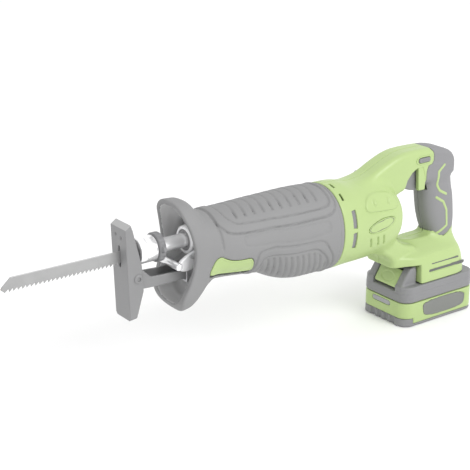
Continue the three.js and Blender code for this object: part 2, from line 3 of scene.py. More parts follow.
import bpy
import numpy as np
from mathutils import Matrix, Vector


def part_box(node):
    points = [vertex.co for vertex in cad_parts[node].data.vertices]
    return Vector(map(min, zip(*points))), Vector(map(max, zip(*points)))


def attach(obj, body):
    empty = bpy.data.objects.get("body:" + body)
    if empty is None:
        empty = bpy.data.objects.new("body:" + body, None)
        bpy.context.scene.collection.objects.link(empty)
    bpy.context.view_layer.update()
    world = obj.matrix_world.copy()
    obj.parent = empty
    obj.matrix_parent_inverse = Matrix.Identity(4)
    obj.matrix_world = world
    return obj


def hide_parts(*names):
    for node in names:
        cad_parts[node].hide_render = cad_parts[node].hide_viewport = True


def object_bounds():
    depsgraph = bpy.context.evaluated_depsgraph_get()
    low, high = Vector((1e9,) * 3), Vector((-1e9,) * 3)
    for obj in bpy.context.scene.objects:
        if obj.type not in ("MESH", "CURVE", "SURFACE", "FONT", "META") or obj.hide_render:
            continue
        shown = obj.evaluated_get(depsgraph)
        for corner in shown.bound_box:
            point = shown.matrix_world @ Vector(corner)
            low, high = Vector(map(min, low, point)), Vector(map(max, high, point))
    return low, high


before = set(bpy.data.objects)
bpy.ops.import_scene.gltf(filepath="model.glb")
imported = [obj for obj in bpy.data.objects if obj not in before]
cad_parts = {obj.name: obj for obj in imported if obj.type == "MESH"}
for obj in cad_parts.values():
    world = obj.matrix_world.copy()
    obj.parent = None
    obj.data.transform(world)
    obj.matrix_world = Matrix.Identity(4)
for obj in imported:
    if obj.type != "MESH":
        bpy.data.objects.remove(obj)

bl_info = {
    "name": "Reciprocating saw looks",
    "version": (1, 0, 0),
    "blender": (4, 5, 0),
    "location": "View3D > Sidebar > Saw",
    "description": "Surfaces, finishes, light and camera for a cordless reciprocating saw",
    "category": "Object",
}

CAD_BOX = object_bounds()
MM = 0.001
# Shapes are worked out in millimetres in the blade's own frame: x = 0 at the shoe's face,
# +X towards the tip, y = 0 in the blade, z = 0 at its middle. SHIFT carries them to the frame.
TIP, BACK = 126.4, 7.2
SHIFT = np.array([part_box("saw_blade")[1].x / MM - TIP, 0.0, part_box("saw_blade")[1].z / MM - BACK])
LIMIT = [np.array(corner) / MM - SHIFT for corner in CAD_BOX]
GAP = 0.35  # open seam between two pieces
SIDES = (("left", 1), ("right", -1))


# ------------------------------------------------------------------ distances and how they join
def blend(a, b, size):
    """Union with a fillet: the smaller distance, less a parabola where the two are within size."""
    near = np.maximum(size - np.abs(a - b), 0) / size
    return np.minimum(a, b) - near * near * size / 4


def within(a, b, size):
    """Both at once, with the edge between them rounded."""
    return -blend(-a, -b, size)


def carve(a, b, size):
    """The first without the second, with the edge between them rounded."""
    return within(a, -b, size)


def step(value, low, high):
    """0 below low, 1 above high and a smooth cubic between."""
    share = np.clip((value - low) / (high - low), 0, 1)
    return share * share * (3 - 2 * share)


def softened(points, times):
    """Cuts each corner of a closed outline at a quarter and three quarters of its sides."""
    points = np.array(points, float)
    for _ in range(times):
        after = np.roll(points, -1, 0)
        cuts = [0.75 * points + 0.25 * after, 0.25 * points + 0.75 * after]
        points = np.stack(cuts, 1).reshape(-1, 2)
    return points


def outline_distance(points, a, b):
    """Distance to the nearest side, negative where a ray crosses an odd number of sides."""
    best, inside = np.inf, np.zeros(np.broadcast(a, b).shape, bool)
    for (pa, pb), (qa, qb) in zip(points, np.roll(points, -1, 0)):
        da, db = qa - pa, qb - pb
        along = np.clip(((a - pa) * da + (b - pb) * db) / (da * da + db * db + 1e-12), 0, 1)
        best = np.minimum(best, (a - pa - along * da) ** 2 + (b - pb - along * db) ** 2)
        rise = db if abs(db) > 1e-9 else 1e-9
        inside ^= ((pb > b) != (qb > b)) & (a < da * (b - pb) / rise + pa)
    return np.sqrt(best) * np.where(inside, -1, 1)


def chart(function, low, high, pitch):
    """A function of two coordinates tabulated once and read back between four neighbours."""
    a, b = (np.arange(low[i], high[i] + pitch, pitch) for i in (0, 1))
    table = function(a[:, None], b[None, :])

    def read(p, q):
        u = np.clip((p - low[0]) / pitch, 0, len(a) - 1.001)
        v = np.clip((q - low[1]) / pitch, 0, len(b) - 1.001)
        i, j = u.astype(int), v.astype(int)
        s, t = u - i, v - j
        return ((table[i, j] * (1 - t) + table[i, j + 1] * t) * (1 - s)
                + (table[i + 1, j] * (1 - t) + table[i + 1, j + 1] * t) * s)
    return read


def flat(points, times=2, margin=9):
    """An outline's distance as a chart."""
    smooth = softened(points, times)
    return chart(lambda a, b: outline_distance(smooth, a, b), smooth.min(0) - margin,
                 smooth.max(0) + margin, 0.5)


def slab(shape, a, b, depth, low, high, edge, inset=0.0):
    """A flat outline given thickness: its distance and the faces' meet in a round edge."""
    side = shape(a, b) + edge + inset
    ends = np.maximum(low - depth, depth - high) + edge + inset
    return (np.minimum(np.maximum(side, ends), 0)
            + np.hypot(np.maximum(side, 0), np.maximum(ends, 0)) - edge)


def crate(x, y, z, xs, ys, zs, edge=0.0):
    """A box by its limits: how far the point is past the nearest face, rounded by edge."""
    past = [np.maximum(low - p, p - high) + edge for p, (low, high) in ((x, xs), (y, ys), (z, zs))]
    outside = np.sqrt(sum(np.maximum(p, 0) ** 2 for p in past))
    return outside + np.minimum(np.maximum(np.maximum(past[0], past[1]), past[2]), 0) - edge


def stations(table, place):
    """Columns of a station table at a place, on a cubic that never passes its stations: the slope
    at one is the harmonic mean of those beside it, or none where they differ in sign."""
    table = np.array(sorted(table), float)
    knots, values = table[:, 0], table[:, 1:]
    rise = np.diff(values, axis=0) / np.diff(knots)[:, None]
    before, after = np.vstack([rise[:1], rise]), np.vstack([rise, rise[-1:]])
    same = before * after > 0
    slopes = np.where(same, 2 * before * after / np.where(same, before + after, 1), 0)
    i = np.clip(np.searchsorted(knots, place) - 1, 0, len(knots) - 2)
    width = knots[i + 1] - knots[i]
    t = np.clip((place - knots[i]) / width, 0, 1)
    made = []
    for c in range(values.shape[1]):
        p, q, m, n = values[i, c], values[i + 1, c], slopes[i, c] * width, slopes[i + 1, c] * width
        made.append(p + t * (m + t * (3 * (q - p) - 2 * m - n + t * (2 * (p - q) + m + n))))
    return made


def superellipse(a, b, wide, tall, square):
    """Distance to |a/wide|^n + |b/tall|^n = 1, measured along the ray from the middle."""
    share = ((np.abs(a) / wide) ** square + (np.abs(b) / tall) ** square) ** (1 / square)
    return np.where(share < 0.05, -np.minimum(wide, tall),
                    np.hypot(a, b) * (1 - 1 / np.maximum(share, 0.05)))


def barrel(table, x, y, z, inset=0.0):
    """Superellipse sections along X."""
    top, bottom, half, square = stations(table, x)
    return superellipse(y, z - (top + bottom) / 2, half - inset, (top - bottom) / 2 - inset, square)


def column(table, x, y, z, inset=0.0):
    """Superellipse sections along Z."""
    front, rear, half, square = stations(table, z)
    return superellipse(x - (front + rear) / 2, y, (front - rear) / 2 - inset, half - inset, square)


def angle_round(table, x, y, z):
    """Degrees from the top of a barrel's section, the same on both sides."""
    top, bottom, half, _ = stations(table, x)
    return np.degrees(np.arctan2(np.abs(y) / half, (z - (top + bottom) / 2) / ((top - bottom) / 2)))


def block(x, y, z, x0, x1, half, corner, z0, z1, edge):
    """A plan view with rounded corners between two heights, edges rounded."""
    a = np.maximum(x0 - x, x - x1) + corner
    b = np.abs(y) - half + corner
    plan = (np.hypot(np.maximum(a, 0), np.maximum(b, 0)) + np.minimum(np.maximum(a, b), 0)
            - corner + edge)
    ends = np.maximum(z0 - z, z - z1) + edge
    return (np.minimum(np.maximum(plan, ends), 0)
            + np.hypot(np.maximum(plan, 0), np.maximum(ends, 0)) - edge)


def pill(a, b, a0, a1, b0, b1, grow=0.0):
    """A bar with round ends, long in a."""
    radius = (b1 - b0) / 2
    along = np.maximum(np.maximum(a0 + radius - a, a - a1 + radius), 0)
    return np.hypot(along, b - (b0 + b1) / 2) - radius - grow


# ------------------------------------------------------------------ meshes
def build(name, points, faces, material, body, replaces=(), slot=None, sharp=38):
    """One mesh object from points in millimetres and arrays of faces, placed on its body."""
    points = np.clip(points, LIMIT[0] + 0.005, LIMIT[1] - 0.005)
    mesh = bpy.data.meshes.new(name)
    mesh.vertices.add(len(points))
    mesh.vertices.foreach_set("co", ((points + SHIFT) * MM).ravel())
    sides = np.concatenate([np.full(len(f), f.shape[1]) for f in faces])
    mesh.loops.add(int(sides.sum()))
    mesh.loops.foreach_set("vertex_index",
                           np.concatenate([f.ravel() for f in faces]).astype(np.int32))
    mesh.polygons.add(len(sides))
    mesh.polygons.foreach_set("loop_start",
                              np.concatenate([[0], np.cumsum(sides)[:-1]]).astype(np.int32))
    mesh.update(calc_edges=True)
    mesh.validate()
    mesh.polygons.foreach_set("use_smooth", np.ones(len(mesh.polygons), bool))
    mesh.set_sharp_from_angle(angle=math.radians(sharp))
    mesh.materials.append(finish(material))
    obj = bpy.data.objects.new(name, mesh)
    bpy.context.scene.collection.objects.link(obj)
    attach(obj, body)
    if replaces:
        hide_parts(*replaces)
    return obj


def skin(field, low, high, cell):
    """The surface where a distance is zero. Each grid cell that it passes through holds one
    point, the mean of its crossings on the cell's sides moved along the slope to distance zero,
    and each crossed grid edge joins the points of its four cells."""
    low, high = np.array(low, float) - 1.5 * cell, np.array(high, float) + 1.5 * cell
    counts = np.ceil((high - low) / cell).astype(int) + 1
    x, y, z = np.ix_(*[low[i] + cell * np.arange(counts[i]) for i in range(3)])
    value = np.zeros(counts) + field(x, y, z)
    solid = value < 0
    ends = counts - 1
    filled = sum(solid[i:ends[0] + i, j:ends[1] + j, k:ends[2] + k].astype(np.int8)
                 for i in (0, 1) for j in (0, 1) for k in (0, 1))
    active = (filled > 0) & (filled < 8)
    index = np.full(active.shape, -1)
    cells = np.argwhere(active)
    index[active] = np.arange(len(cells))
    total, hits, quads = np.zeros((len(cells), 3)), np.zeros((len(cells), 1)), []
    for axis in range(3):
        unit = np.eye(3, dtype=int)
        b, c = unit[(axis + 1) % 3], unit[(axis + 2) % 3]
        for corner in (0 * b, b, c, b + c):
            start = cells + corner
            first, last = value[tuple(start.T)], value[tuple((start + unit[axis]).T)]
            crossed = (first < 0) != (last < 0)
            share = np.where(crossed, first / np.where(crossed, first - last, 1), 0)
            total += (start + share[:, None] * unit[axis]) * crossed[:, None]
            hits += crossed[:, None]
        near, far = np.moveaxis(solid, axis, 0)[:-1], np.moveaxis(solid, axis, 0)[1:]
        edge = np.argwhere(np.moveaxis(near != far, 0, axis))
        around = np.stack([index[tuple((edge - o).T)] for o in (b + c, c, 0 * b, b)], 1)
        outward = solid[tuple(edge.T)]
        quads.append(np.where(outward[:, None], around, around[:, ::-1]))
    points = low + cell * total / hits
    for _ in range(2):
        here = field(*points.T)
        slope = np.stack([field(*(points + d).T) - here for d in np.eye(3) * 0.02], 1) / 0.02
        move = here[:, None] * slope / np.maximum((slope ** 2).sum(1), 0.05)[:, None]
        points = points - np.clip(move, -0.45 * cell, 0.45 * cell)
    return points, [np.concatenate(quads)]


def shell_faces(rows, cols, closed=False):
    """Four-sided faces between neighbouring rings, each ring joined to its own start."""
    r, c = np.arange(rows if closed else rows - 1)[:, None], np.arange(cols)[None, :]
    after, beside = (r + 1) % rows, (c + 1) % cols
    corners = (r * cols + c, r * cols + beside, after * cols + beside, after * cols + c)
    return np.stack(np.broadcast_arrays(*corners), -1).reshape(-1, 4)


def outward(points, faces):
    """Turns every face round if the faces' total signed volume is negative."""
    volume = sum(np.einsum("ij,ij->i", points[f[:, 0]],
                           np.cross(points[f[:, i]], points[f[:, i + 1]])).sum()
                 for f in faces for i in range(1, f.shape[1] - 1))
    return points, [f[:, ::-1] for f in faces] if volume < 0 else faces


def capped(rings):
    """Rings (rows, points, 3) skinned in order, with a fan of three-sided faces on each end."""
    rows, cols = rings.shape[:2]
    points = np.concatenate([rings.reshape(-1, 3), rings[:1].mean(1), rings[-1:].mean(1)])
    c, last = np.arange(cols), (rows - 1) * cols
    beside = (c + 1) % cols
    fans = np.concatenate([np.stack([beside, c, 0 * c + rows * cols], 1),
                           np.stack([last + c, last + beside, 0 * c + rows * cols + 1], 1)])
    return outward(points, [shell_faces(rows, cols), fans])


def looped(rings):
    """Rings skinned in order, the last joined to the first."""
    rows, cols = rings.shape[:2]
    return outward(rings.reshape(-1, 3), [shell_faces(rows, cols, closed=True)])


def turned(profile, axis, centre, segments=72, swell=None):
    """A profile of (place, radius) carried round a line along X, Y or Z. swell changes the
    radius by place and angle."""
    along, radius = np.array(profile, float).T
    angle = np.linspace(0, 2 * math.pi, segments, endpoint=False)
    r = (np.maximum(radius, 1e-3)[:, None]
         + (0 if swell is None else swell(along[:, None], angle[None, :])))
    u, v = r * np.cos(angle), r * np.sin(angle)
    a = along[:, None] + 0 * angle
    order = {"x": (a, u, v), "y": (u, a, v), "z": (u, v, a)}[axis]
    return np.stack(order, -1) + np.array(centre, float)


# ------------------------------------------------------------------ finishes
def empty_group(name, inputs, outputs):
    """A shader group with number sockets only: its tree, its two ends and Object coordinates."""
    tree = bpy.data.node_groups.new(name, "ShaderNodeTree")
    for socket, default in inputs:
        made = tree.interface.new_socket(socket, in_out="INPUT", socket_type="NodeSocketFloat")
        made.default_value = default
    for socket in outputs:
        tree.interface.new_socket(socket, in_out="OUTPUT", socket_type="NodeSocketFloat")
    ends = tree.nodes.new("NodeGroupInput"), tree.nodes.new("NodeGroupOutput")
    return tree, *ends, tree.nodes.new("ShaderNodeTexCoord").outputs["Object"]


def noise(tree, where, size, detail):
    """A noise whose Scale is 1 / size, so that size is the width of its marks."""
    rate = tree.nodes.new("ShaderNodeMath")
    rate.operation = "DIVIDE"
    rate.inputs[0].default_value = 1.0
    tree.links.new(size, rate.inputs[1])
    made = tree.nodes.new("ShaderNodeTexNoise")
    made.inputs["Detail"].default_value = detail
    tree.links.new(where, made.inputs["Vector"])
    tree.links.new(rate.outputs[0], made.inputs["Scale"])
    return made.outputs["Fac"]


def group_mould_grain():
    """Fine pits and slow colour drift of a moulded surface, from two noises. The scuffs are the
    product of the two, spread over 0 to 1."""
    tree, entry, leave, where = empty_group(
        "mould_grain", (("Pit Size", 0.001), ("Drift Size", 0.05)), ("Height", "Drift", "Scuff"))
    pits = noise(tree, where, entry.outputs["Pit Size"], 3)
    drift = noise(tree, where, entry.outputs["Drift Size"], 5)
    scuff = tree.nodes.new("ShaderNodeMath")
    scuff.operation = "MULTIPLY"
    tree.links.new(pits, scuff.inputs[0])
    tree.links.new(drift, scuff.inputs[1])
    spread = tree.nodes.new("ShaderNodeMapRange")
    spread.inputs["From Min"].default_value, spread.inputs["From Max"].default_value = 0.22, 0.42
    tree.links.new(scuff.outputs[0], spread.inputs["Value"])
    tree.links.new(pits, leave.inputs["Height"])
    tree.links.new(drift, leave.inputs["Drift"])
    tree.links.new(spread.outputs["Result"], leave.inputs["Scuff"])


def group_brushed():
    """Fine lines drawn out 25 times along X, and soft cloudy marks, as on ground steel."""
    tree, entry, leave, where = empty_group(
        "brushed_lines", (("Line Size", 0.0004),), ("Height", "Drift"))
    stretch = tree.nodes.new("ShaderNodeMapping")
    stretch.inputs["Scale"].default_value = (0.04, 1, 1)
    tree.links.new(where, stretch.inputs["Vector"])
    lines = noise(tree, stretch.outputs["Vector"], entry.outputs["Line Size"], 2)
    cloud = tree.nodes.new("ShaderNodeTexNoise")
    tree.links.new(where, cloud.inputs["Vector"])
    cloud.inputs["Scale"].default_value = 60
    tree.links.new(lines, leave.inputs["Height"])
    tree.links.new(cloud.outputs["Fac"], leave.inputs["Drift"])


# Finish: colour property, roughness, metallic, coat, pit or line size in mm, bump, drift of colour.
FINISHES = {
    "boot rubber": ("rubber", 0.72, 0, 0, 0.9, 0.35, 0.07),
    "grip rubber": ("grip", 0.62, 0, 0, 0.7, 0.4, 0.07),
    "dark plastic": ("dark", 0.5, 0, 0, 0.6, 0.3, 0.06),
    "glossy dark plastic": ("label", 0.25, 0, 0.3, 0.8, 0.1, 0.05),
    "green plastic": ("green", 0.42, 0, 0.1, 0.7, 0.18, 0.05),
    "shoe coating": ("coating", 0.5, 0.1, 0, 0.8, 0.4, 0.08),
    # Bare metal with a painted highlight: much lighter than the coating, for the shoe's up-facing top
    # edge
    "rubbed metal": ("rubbed", 0.45, 0.3, 0, 0.6, 0.6, 0.16),
    "blade steel": ("blade", 0.42, 0.4, 0, 0.35, 0.3, 0.1),
    "bright steel": ("chrome", 0.2, 0.6, 0.5, 0.3, 0.05, 0.03),
    "plain steel": ("steel", 0.38, 0.7, 0, 0.5, 0.25, 0.08),
    "cast aluminium": ("aluminium", 0.4, 0.3, 0, 0.9, 0.4, 0.08),
    "bronze": ("bronze", 0.4, 0.9, 0, 0.8, 0.3, 0.1),
    "copper winding": ("copper", 0.38, 0.9, 0, 0.4, 0.5, 0.15),
    "circuit board": ("board", 0.45, 0, 0.2, 0.8, 0.2, 0.1),
    "cell wrap": ("wrap", 0.35, 0, 0.2, 1.2, 0.1, 0.06),
    "gauge lens": ("lens", 0.08, 0, 0.6, 1.5, 0.05, 0.08),
    # Painted fill light: a light copy of the boot rubber for the guard's shaded inside
    "guard lining": ("lining", 0.8, 0, 0, 0.8, 0.2, 0.05),
    "gap shadow": ("shadow", 0.7, 0, 0, 1, 0.2, 0.1),
    # Painted shade: dark sheets set just behind the drum's vents
    "vent screen": ("dark", 0.6, 0, 0, 0.8, 0.3, 0.1),
}
BRUSHED = {"blade steel", "plain steel"}


def finish(name):
    """The material of a finish: grain or brushed lines in colour, roughness and bump."""
    if name in bpy.data.materials:
        return bpy.data.materials[name]
    key, rough, metal, coat, size, bump, drift = FINISHES[name]
    colour = getattr(bpy.context.scene.saw_finishes, key)
    material = bpy.data.materials.new(name)
    material.use_nodes = True
    nodes, links = material.node_tree.nodes, material.node_tree.links
    shader = nodes["Principled BSDF"]
    shader.inputs["Metallic"].default_value = metal
    shader.inputs["Coat Weight"].default_value = coat
    shader.inputs["Coat Roughness"].default_value = 0.25
    grain = nodes.new("ShaderNodeGroup")
    brushed = name in BRUSHED
    grain.node_tree = bpy.data.node_groups["brushed_lines" if brushed else "mould_grain"]
    grain.inputs["Line Size" if brushed else "Pit Size"].default_value = size * MM
    tint = nodes.new("ShaderNodeMix")
    tint.data_type = "RGBA"
    tint.inputs["A"].default_value = (*[c * (1 - drift) for c in colour], 1)
    tint.inputs["B"].default_value = (*[min(1, c * (1 + drift)) for c in colour], 1)
    links.new(grain.outputs["Drift"], tint.inputs["Factor"])
    links.new(tint.outputs["Result"], shader.inputs["Base Color"])
    gloss = nodes.new("ShaderNodeMapRange")
    gloss.inputs["To Min"].default_value = max(0.03, rough - 0.06)
    gloss.inputs["To Max"].default_value = rough + 0.06
    links.new(grain.outputs["Height" if brushed else "Scuff"], gloss.inputs["Value"])
    links.new(gloss.outputs["Result"], shader.inputs["Roughness"])
    relief = nodes.new("ShaderNodeBump")
    relief.inputs["Strength"].default_value = bump
    relief.inputs["Distance"].default_value = 0.0001
    links.new(grain.outputs["Height"], relief.inputs["Height"])
    links.new(relief.outputs["Normal"], shader.inputs["Normal"])
    return material


def wear_it(node, name):
    """Gives a CAD node that stays in view one of the finishes."""
    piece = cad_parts[node]
    if not piece.data.materials:
        piece.data.materials.append(finish(name))
    for place in piece.material_slots:
        place.material = finish(name)


# ------------------------------------------------------------------ colours and sizes
def colour(name, description, default):
    return bpy.props.FloatVectorProperty(name=name, description=description, subtype="COLOR",
                                         default=default)


def length(name, description, default):
    return bpy.props.FloatProperty(name=name, description=description, unit="LENGTH",
                                   default=default)


class SawFinishes(bpy.types.PropertyGroup):
    """Base colours of the saw's materials."""
    green: colour("Green plastic", "Housing and battery band", (0.385, 0.5, 0.205))
    rubber: colour("Boot rubber", "Barrel cover and guard", (0.235, 0.235, 0.237))
    grip: colour("Grip rubber", "Handle overmould", (0.225, 0.224, 0.232))
    dark: colour("Dark plastic", "Trigger, battery shell and bumper", (0.215, 0.215, 0.222))
    label: colour("Side panels", "Plain panels on the battery's sides", (0.17, 0.175, 0.165))
    coating: colour("Shoe coating", "Coating on the shoe and its arm", (0.235, 0.235, 0.238))
    # Painted fill light: the guard's inside, far lighter than the boot rubber
    lining: colour("Guard lining", "Inside of the guard, lightened as painted fill light", (0.56, 0.56, 0.56))
    # Light metal colour on the shoe's top edge: bare metal, and partly a painted highlight
    rubbed: colour("Rubbed metal", "Shoe's top edge, bare metal and painted highlight", (0.4, 0.4, 0.4))
    blade: colour("Blade steel", "Saw blade", (0.36, 0.36, 0.36))
    chrome: colour("Bright steel", "Clamp sleeve, plunger and pins", (0.94, 0.94, 0.95))
    steel: colour("Plain steel", "Screws, gears and springs", (0.45, 0.45, 0.46))
    aluminium: colour("Cast aluminium", "Gearbox nose and case", (0.82, 0.82, 0.83))
    bronze: colour("Bronze", "Bushings and terminals", (0.6, 0.42, 0.2))
    copper: colour("Copper", "Motor winding", (0.5, 0.25, 0.13))
    board: colour("Circuit board", "Controller and battery boards", (0.04, 0.16, 0.07))
    wrap: colour("Cell wrap", "Sleeves of the battery cells", (0.1, 0.2, 0.4))
    lens: colour("Gauge lens", "Window over the charge gauge", (0.3, 0.3, 0.32))
    # Painted shade: near-black sheets in the foot's slots and in the badge's groove
    shadow: colour("Painted slot shade", "Painted shade behind the slots and in the badge's groove", (0.12, 0.125, 0.12))


class SawSizes(bpy.types.PropertyGroup):
    """Sizes of the saw's finer shapes."""
    tooth_pitch: length("Tooth pitch", "From tooth to tooth", 0.0045)
    tooth_set: length("Tooth set", "How far each tooth leans sideways", 0.0003)
    knurl: length("Knurl depth", "Depth of the collar's flutes", 0.0009)
    groove: length("Groove depth", "Depth of the barrel cover's grooves", 0.0012)
    fine_cell: length("Fine cell", "Grid pitch of the small pieces' surfaces", 0.0007)
    coarse_cell: length("Coarse cell", "Grid pitch of the large pieces' surfaces", 0.00115)


def sizes():
    return bpy.context.scene.saw_sizes


def fine():
    return sizes().fine_cell / MM


def coarse():
    return sizes().coarse_cell / MM * 1


# ------------------------------------------------------------------ blade and its clamp
CLAMP_Z = 2.7  # height of the plunger's line
HALF_THICK = 0.65  # half the blade's thickness
TEETH = 29
FIRST_TIP = TIP - 4  # place of the first tooth's point


def make_blade():
    """The blade's section carried along X: its lower edge follows the teeth, its upper edge the
    back and the chamfered tip, and each tooth leans to its own side."""
    pitch, lean = sizes().tooth_pitch / MM, sizes().tooth_set / MM
    tips = FIRST_TIP - pitch * np.arange(TEETH)
    keys = np.concatenate([tips, tips - pitch + 0.8, tips - pitch + 0.55])
    low_x = np.concatenate([[-31, TIP], keys])
    low_z = np.concatenate([[-4.2, -3.7], 0 * tips - 7.2, 0 * tips - 4.2, 0 * tips - 4.35])
    order = np.argsort(low_x)
    places = np.unique(np.concatenate([np.linspace(-30, TIP, 260), keys[keys > -30]]))
    lower = np.interp(places, low_x[order], low_z[order])
    upper = np.interp(places, [-30, -27, TIP - 10.4, TIP - 0.4, TIP], [5.5, BACK, BACK, -1.7, -3.0])
    tooth = np.round((FIRST_TIP - places) / pitch)
    side = (np.where(tooth % 3 == 0, 0, np.where(tooth % 3 == 1, 1, -1)) * lean
            * step(-lower, 4.3, 7.2))
    half = np.full_like(places, HALF_THICK)
    foot, back = lower + 0.9, upper - 0.45
    ys = np.stack([side + 0.4 * half, half + 0.4 * side, half, half - 0.3, 0.3 - half, -half,
                   0.4 * side - half, side - 0.4 * half], 1)
    zs = np.stack([lower, foot, back, upper, upper, back, foot, lower], 1)
    rings = np.stack([places[:, None] + 0 * ys, ys, zs], -1)
    build("toothed_blade", *capped(rings), "blade steel", "reciprocating_set", ["saw_blade"],
          "blade_steel", sharp=20)


def make_clamp():
    """The sleeve and collar are profiles carried round X. The collar's radius dips in round
    flutes and swells in one thumb tab."""
    sleeve = [(-47, 0), (-47, 9.2), (-46.7, 9.5), (-39, 9.5), (-38.8, 12.6), (-38.2, 13.3),
              (-37.6, 13.5), (-27.2, 13.5), (-26.9, 13.1), (-26.4, 13.1), (-26.1, 13.5),
              (-20.2, 13.5), (-19.2, 13.1), (-18.6, 12.2), (-18.5, 11.4), (-18.6, 9.8),
              (-20.6, 8.9), (-21, 8.3), (-21, 0)]
    build("clamp_sleeve", *capped(turned(sleeve, "x", (0, 0, CLAMP_Z), 96)), "bright steel",
          "reciprocating_set", ["blade_clamp_sleeve"], "bright_steel", sharp=30)
    depth = sizes().knurl / MM

    def swell(along, angle):
        flute = (np.maximum(np.cos(12 * angle), 0) ** 0.6 * step(along, -46.2, -45.2)
                 * (1 - step(along, -41.4, -40.4)))
        tab = (3.6 * np.exp(-((angle - 0.05) / 0.25) ** 4) * step(along, -45.8, -44.8)
               * (1 - step(along, -41.4, -40.6)))
        return np.where(along < -39, tab - depth * flute * (tab < 0.3), 0)

    places = np.concatenate([[-46.8, -46.4], np.linspace(-45.9, -40.3, 16), [-39.9, -39.6, -39.36]])
    outer = np.stack([places, 15.2 - np.array([0.8, 0.2] + [0] * 16 + [0.25, 0.6, 1.2])], 1)
    inner = np.array([(-39.36, 10.1), (-39.7, 9.8), (-41.9, 9.8), (-42, 12.7), (-46.5, 12.7),
                      (-46.8, 13.0)])
    ring = np.concatenate([outer, inner])
    on_outer = np.concatenate([np.ones(len(outer)), np.zeros(len(inner))])[:, None]
    made = turned(ring, "x", (0, 0, CLAMP_Z), 144, lambda a, t: swell(a, t) * on_outer)
    build("clamp_collar_knurled", *looped(made), "dark plastic", "clamp_collar", ["clamp_collar"],
          "dark_plastic", sharp=35)


# ------------------------------------------------------------------ shoe
SHOE_SIDE = [(0, 32), (-6.5, 36.5), (-9, 30), (-10.5, 23), (-18.2, -8), (-19.4, -35), (-11, -62.5),
             (-3, -64.5)]
SHOE_ROOM = [(-2.3, 30.4), (-8.2, 34.6), (-60, 34.6), (-60, -90), (-5.2, -90)]
ARM_SIDE = [(-5.5, -24), (-5.5, -18), (-10.5, -13), (-20, -13), (-27, -20.5), (-31, -23.7),
            (-99, -25), (-99, -34.7), (-16, -34.7), (-12.5, -30)]
PIVOT = (-13.5, -21)
PIVOT_HOLE = 3.3


def refinish(piece, name, choose):
    """A second finish on the faces that a rule picks by their normals and middles."""
    mesh = piece.data
    mesh.materials.append(finish(name))
    count = len(mesh.polygons)
    normal, centre = np.empty(count * 3), np.empty(count * 3)
    mesh.polygons.foreach_get("normal", normal)
    mesh.polygons.foreach_get("center", centre)
    normal, centre = normal.reshape(-1, 3), centre.reshape(-1, 3) / MM - SHIFT
    mesh.polygons.foreach_set("material_index", choose(normal.T, centre.T).astype(np.int32))


def make_shoe():
    """The foot is a side outline 28.4 mm wide less the room inside it, with a blade slot, dents
    and cut lower corners. The arm is made the same way, the pivot is a profile carried round Y,
    and the runner is a channel's end outline given length."""
    side, room = flat(SHOE_SIDE, 0), flat(SHOE_ROOM, 0)

    def plate_field(x, y, z):
        body = slab(side, x, z, y, -14.2, 14.2, 0.9)
        body = carve(body, slab(room, x, z, y, -12, 12, 0.8), 0.5)
        lower = ((np.abs(y) - 7) * 15 - (z + 70) * 13) / 19.85
        body = within(body, lower, 0.8)
        body = carve(body, np.maximum(pill(z, y, -9.6, 13.2, -1.9, 1.9), np.abs(x) - 6), 0.8)
        body = carve(body, np.hypot(x - PIVOT[0], z - PIVOT[1]) - PIVOT_HOLE, 0.6)
        for dy, dz in ((5, 22), (6, -26), (5, -47), (-5, 24), (-6, -30)):
            dent = np.sqrt((x - 1.0 + 0.027 * dz) ** 2 + (y - dy) ** 2 + (z - dz) ** 2) - 2.1
            body = carve(body, dent, 0.5)
        return body
    plate = build("shoe_foot_plate", *skin(plate_field, (-20, -14.2, -66), (0, 14.2, 37), fine()),
                  "shoe coating", "shoe_foot", ["shoe_plate"], "shoe_paint", sharp=50)

    # The shoe's top faces that point up and forward get a light metal colour: in part bare metal, and
    # in part a painted highlight where the light falls.
    def highlit_top_edge(normal, centre):
        return (centre[2] > 31.6) & (normal[2] > 0.55) & (normal[0] > 0.3)
    refinish(plate, "rubbed metal", highlit_top_edge)
    arm = flat(ARM_SIDE, 1)

    def arm_field(x, y, z):
        body = slab(arm, x, z, y, -11.65, 11.65, 1.0)
        body = carve(body, crate(x, y, z, (-120, 5), (-9.45, 9.45), (-32.5, 0), 0.8), 0.4)
        body = carve(body, crate(x, y, z, (-14, 5), (-9.45, 9.45), (-60, 0), 0.8), 0.4)
        return carve(body, np.hypot(x - PIVOT[0], z - PIVOT[1]) - PIVOT_HOLE, 0.5)
    build("shoe_arm_channel", *skin(arm_field, (-99, -11.7, -35), (-5, 11.7, -12.5), fine()),
          "shoe coating", "shoe_arm", ["shoe_arm"], "shoe_paint", sharp=50)
    half_pin = [(14.3, 0), (14.3, 1.9), (14.7, 2.2), (15.5, 2.4), (15.6, 2.8), (15.1, 4.4),
                (14.6, 4.9), (14.5, 3)]
    pin = [(-a, r) for a, r in half_pin] + half_pin[::-1]
    build("shoe_pivot", *capped(turned(pin, "y", (PIVOT[0], 0, PIVOT[1]), 48)), "shoe coating",
          "shoe_arm", ["shoe_pivot_pin"], "plain_steel", sharp=35)
    bracket = flat([(-14.6, -37.9), (-14.6, -23.8), (-12.1, -23.8), (-12.1, -35.1), (12.1, -35.1),
                    (12.1, -23.8), (14.6, -23.8), (14.6, -37.9)], 0)

    def bracket_field(x, y, z):
        shape = slab(bracket, y, z, x, -94, -70, 0.8)
        return carve(shape, np.hypot(x + 79, z + 29) - 2.6, 0.5)
    build("shoe_runner", *skin(bracket_field, (-94, -14.6, -38), (-70, 14.6, -23.7), fine()),
          "plain steel", "saw_body", ["shoe_guide_bracket"], "plain_steel", sharp=50)


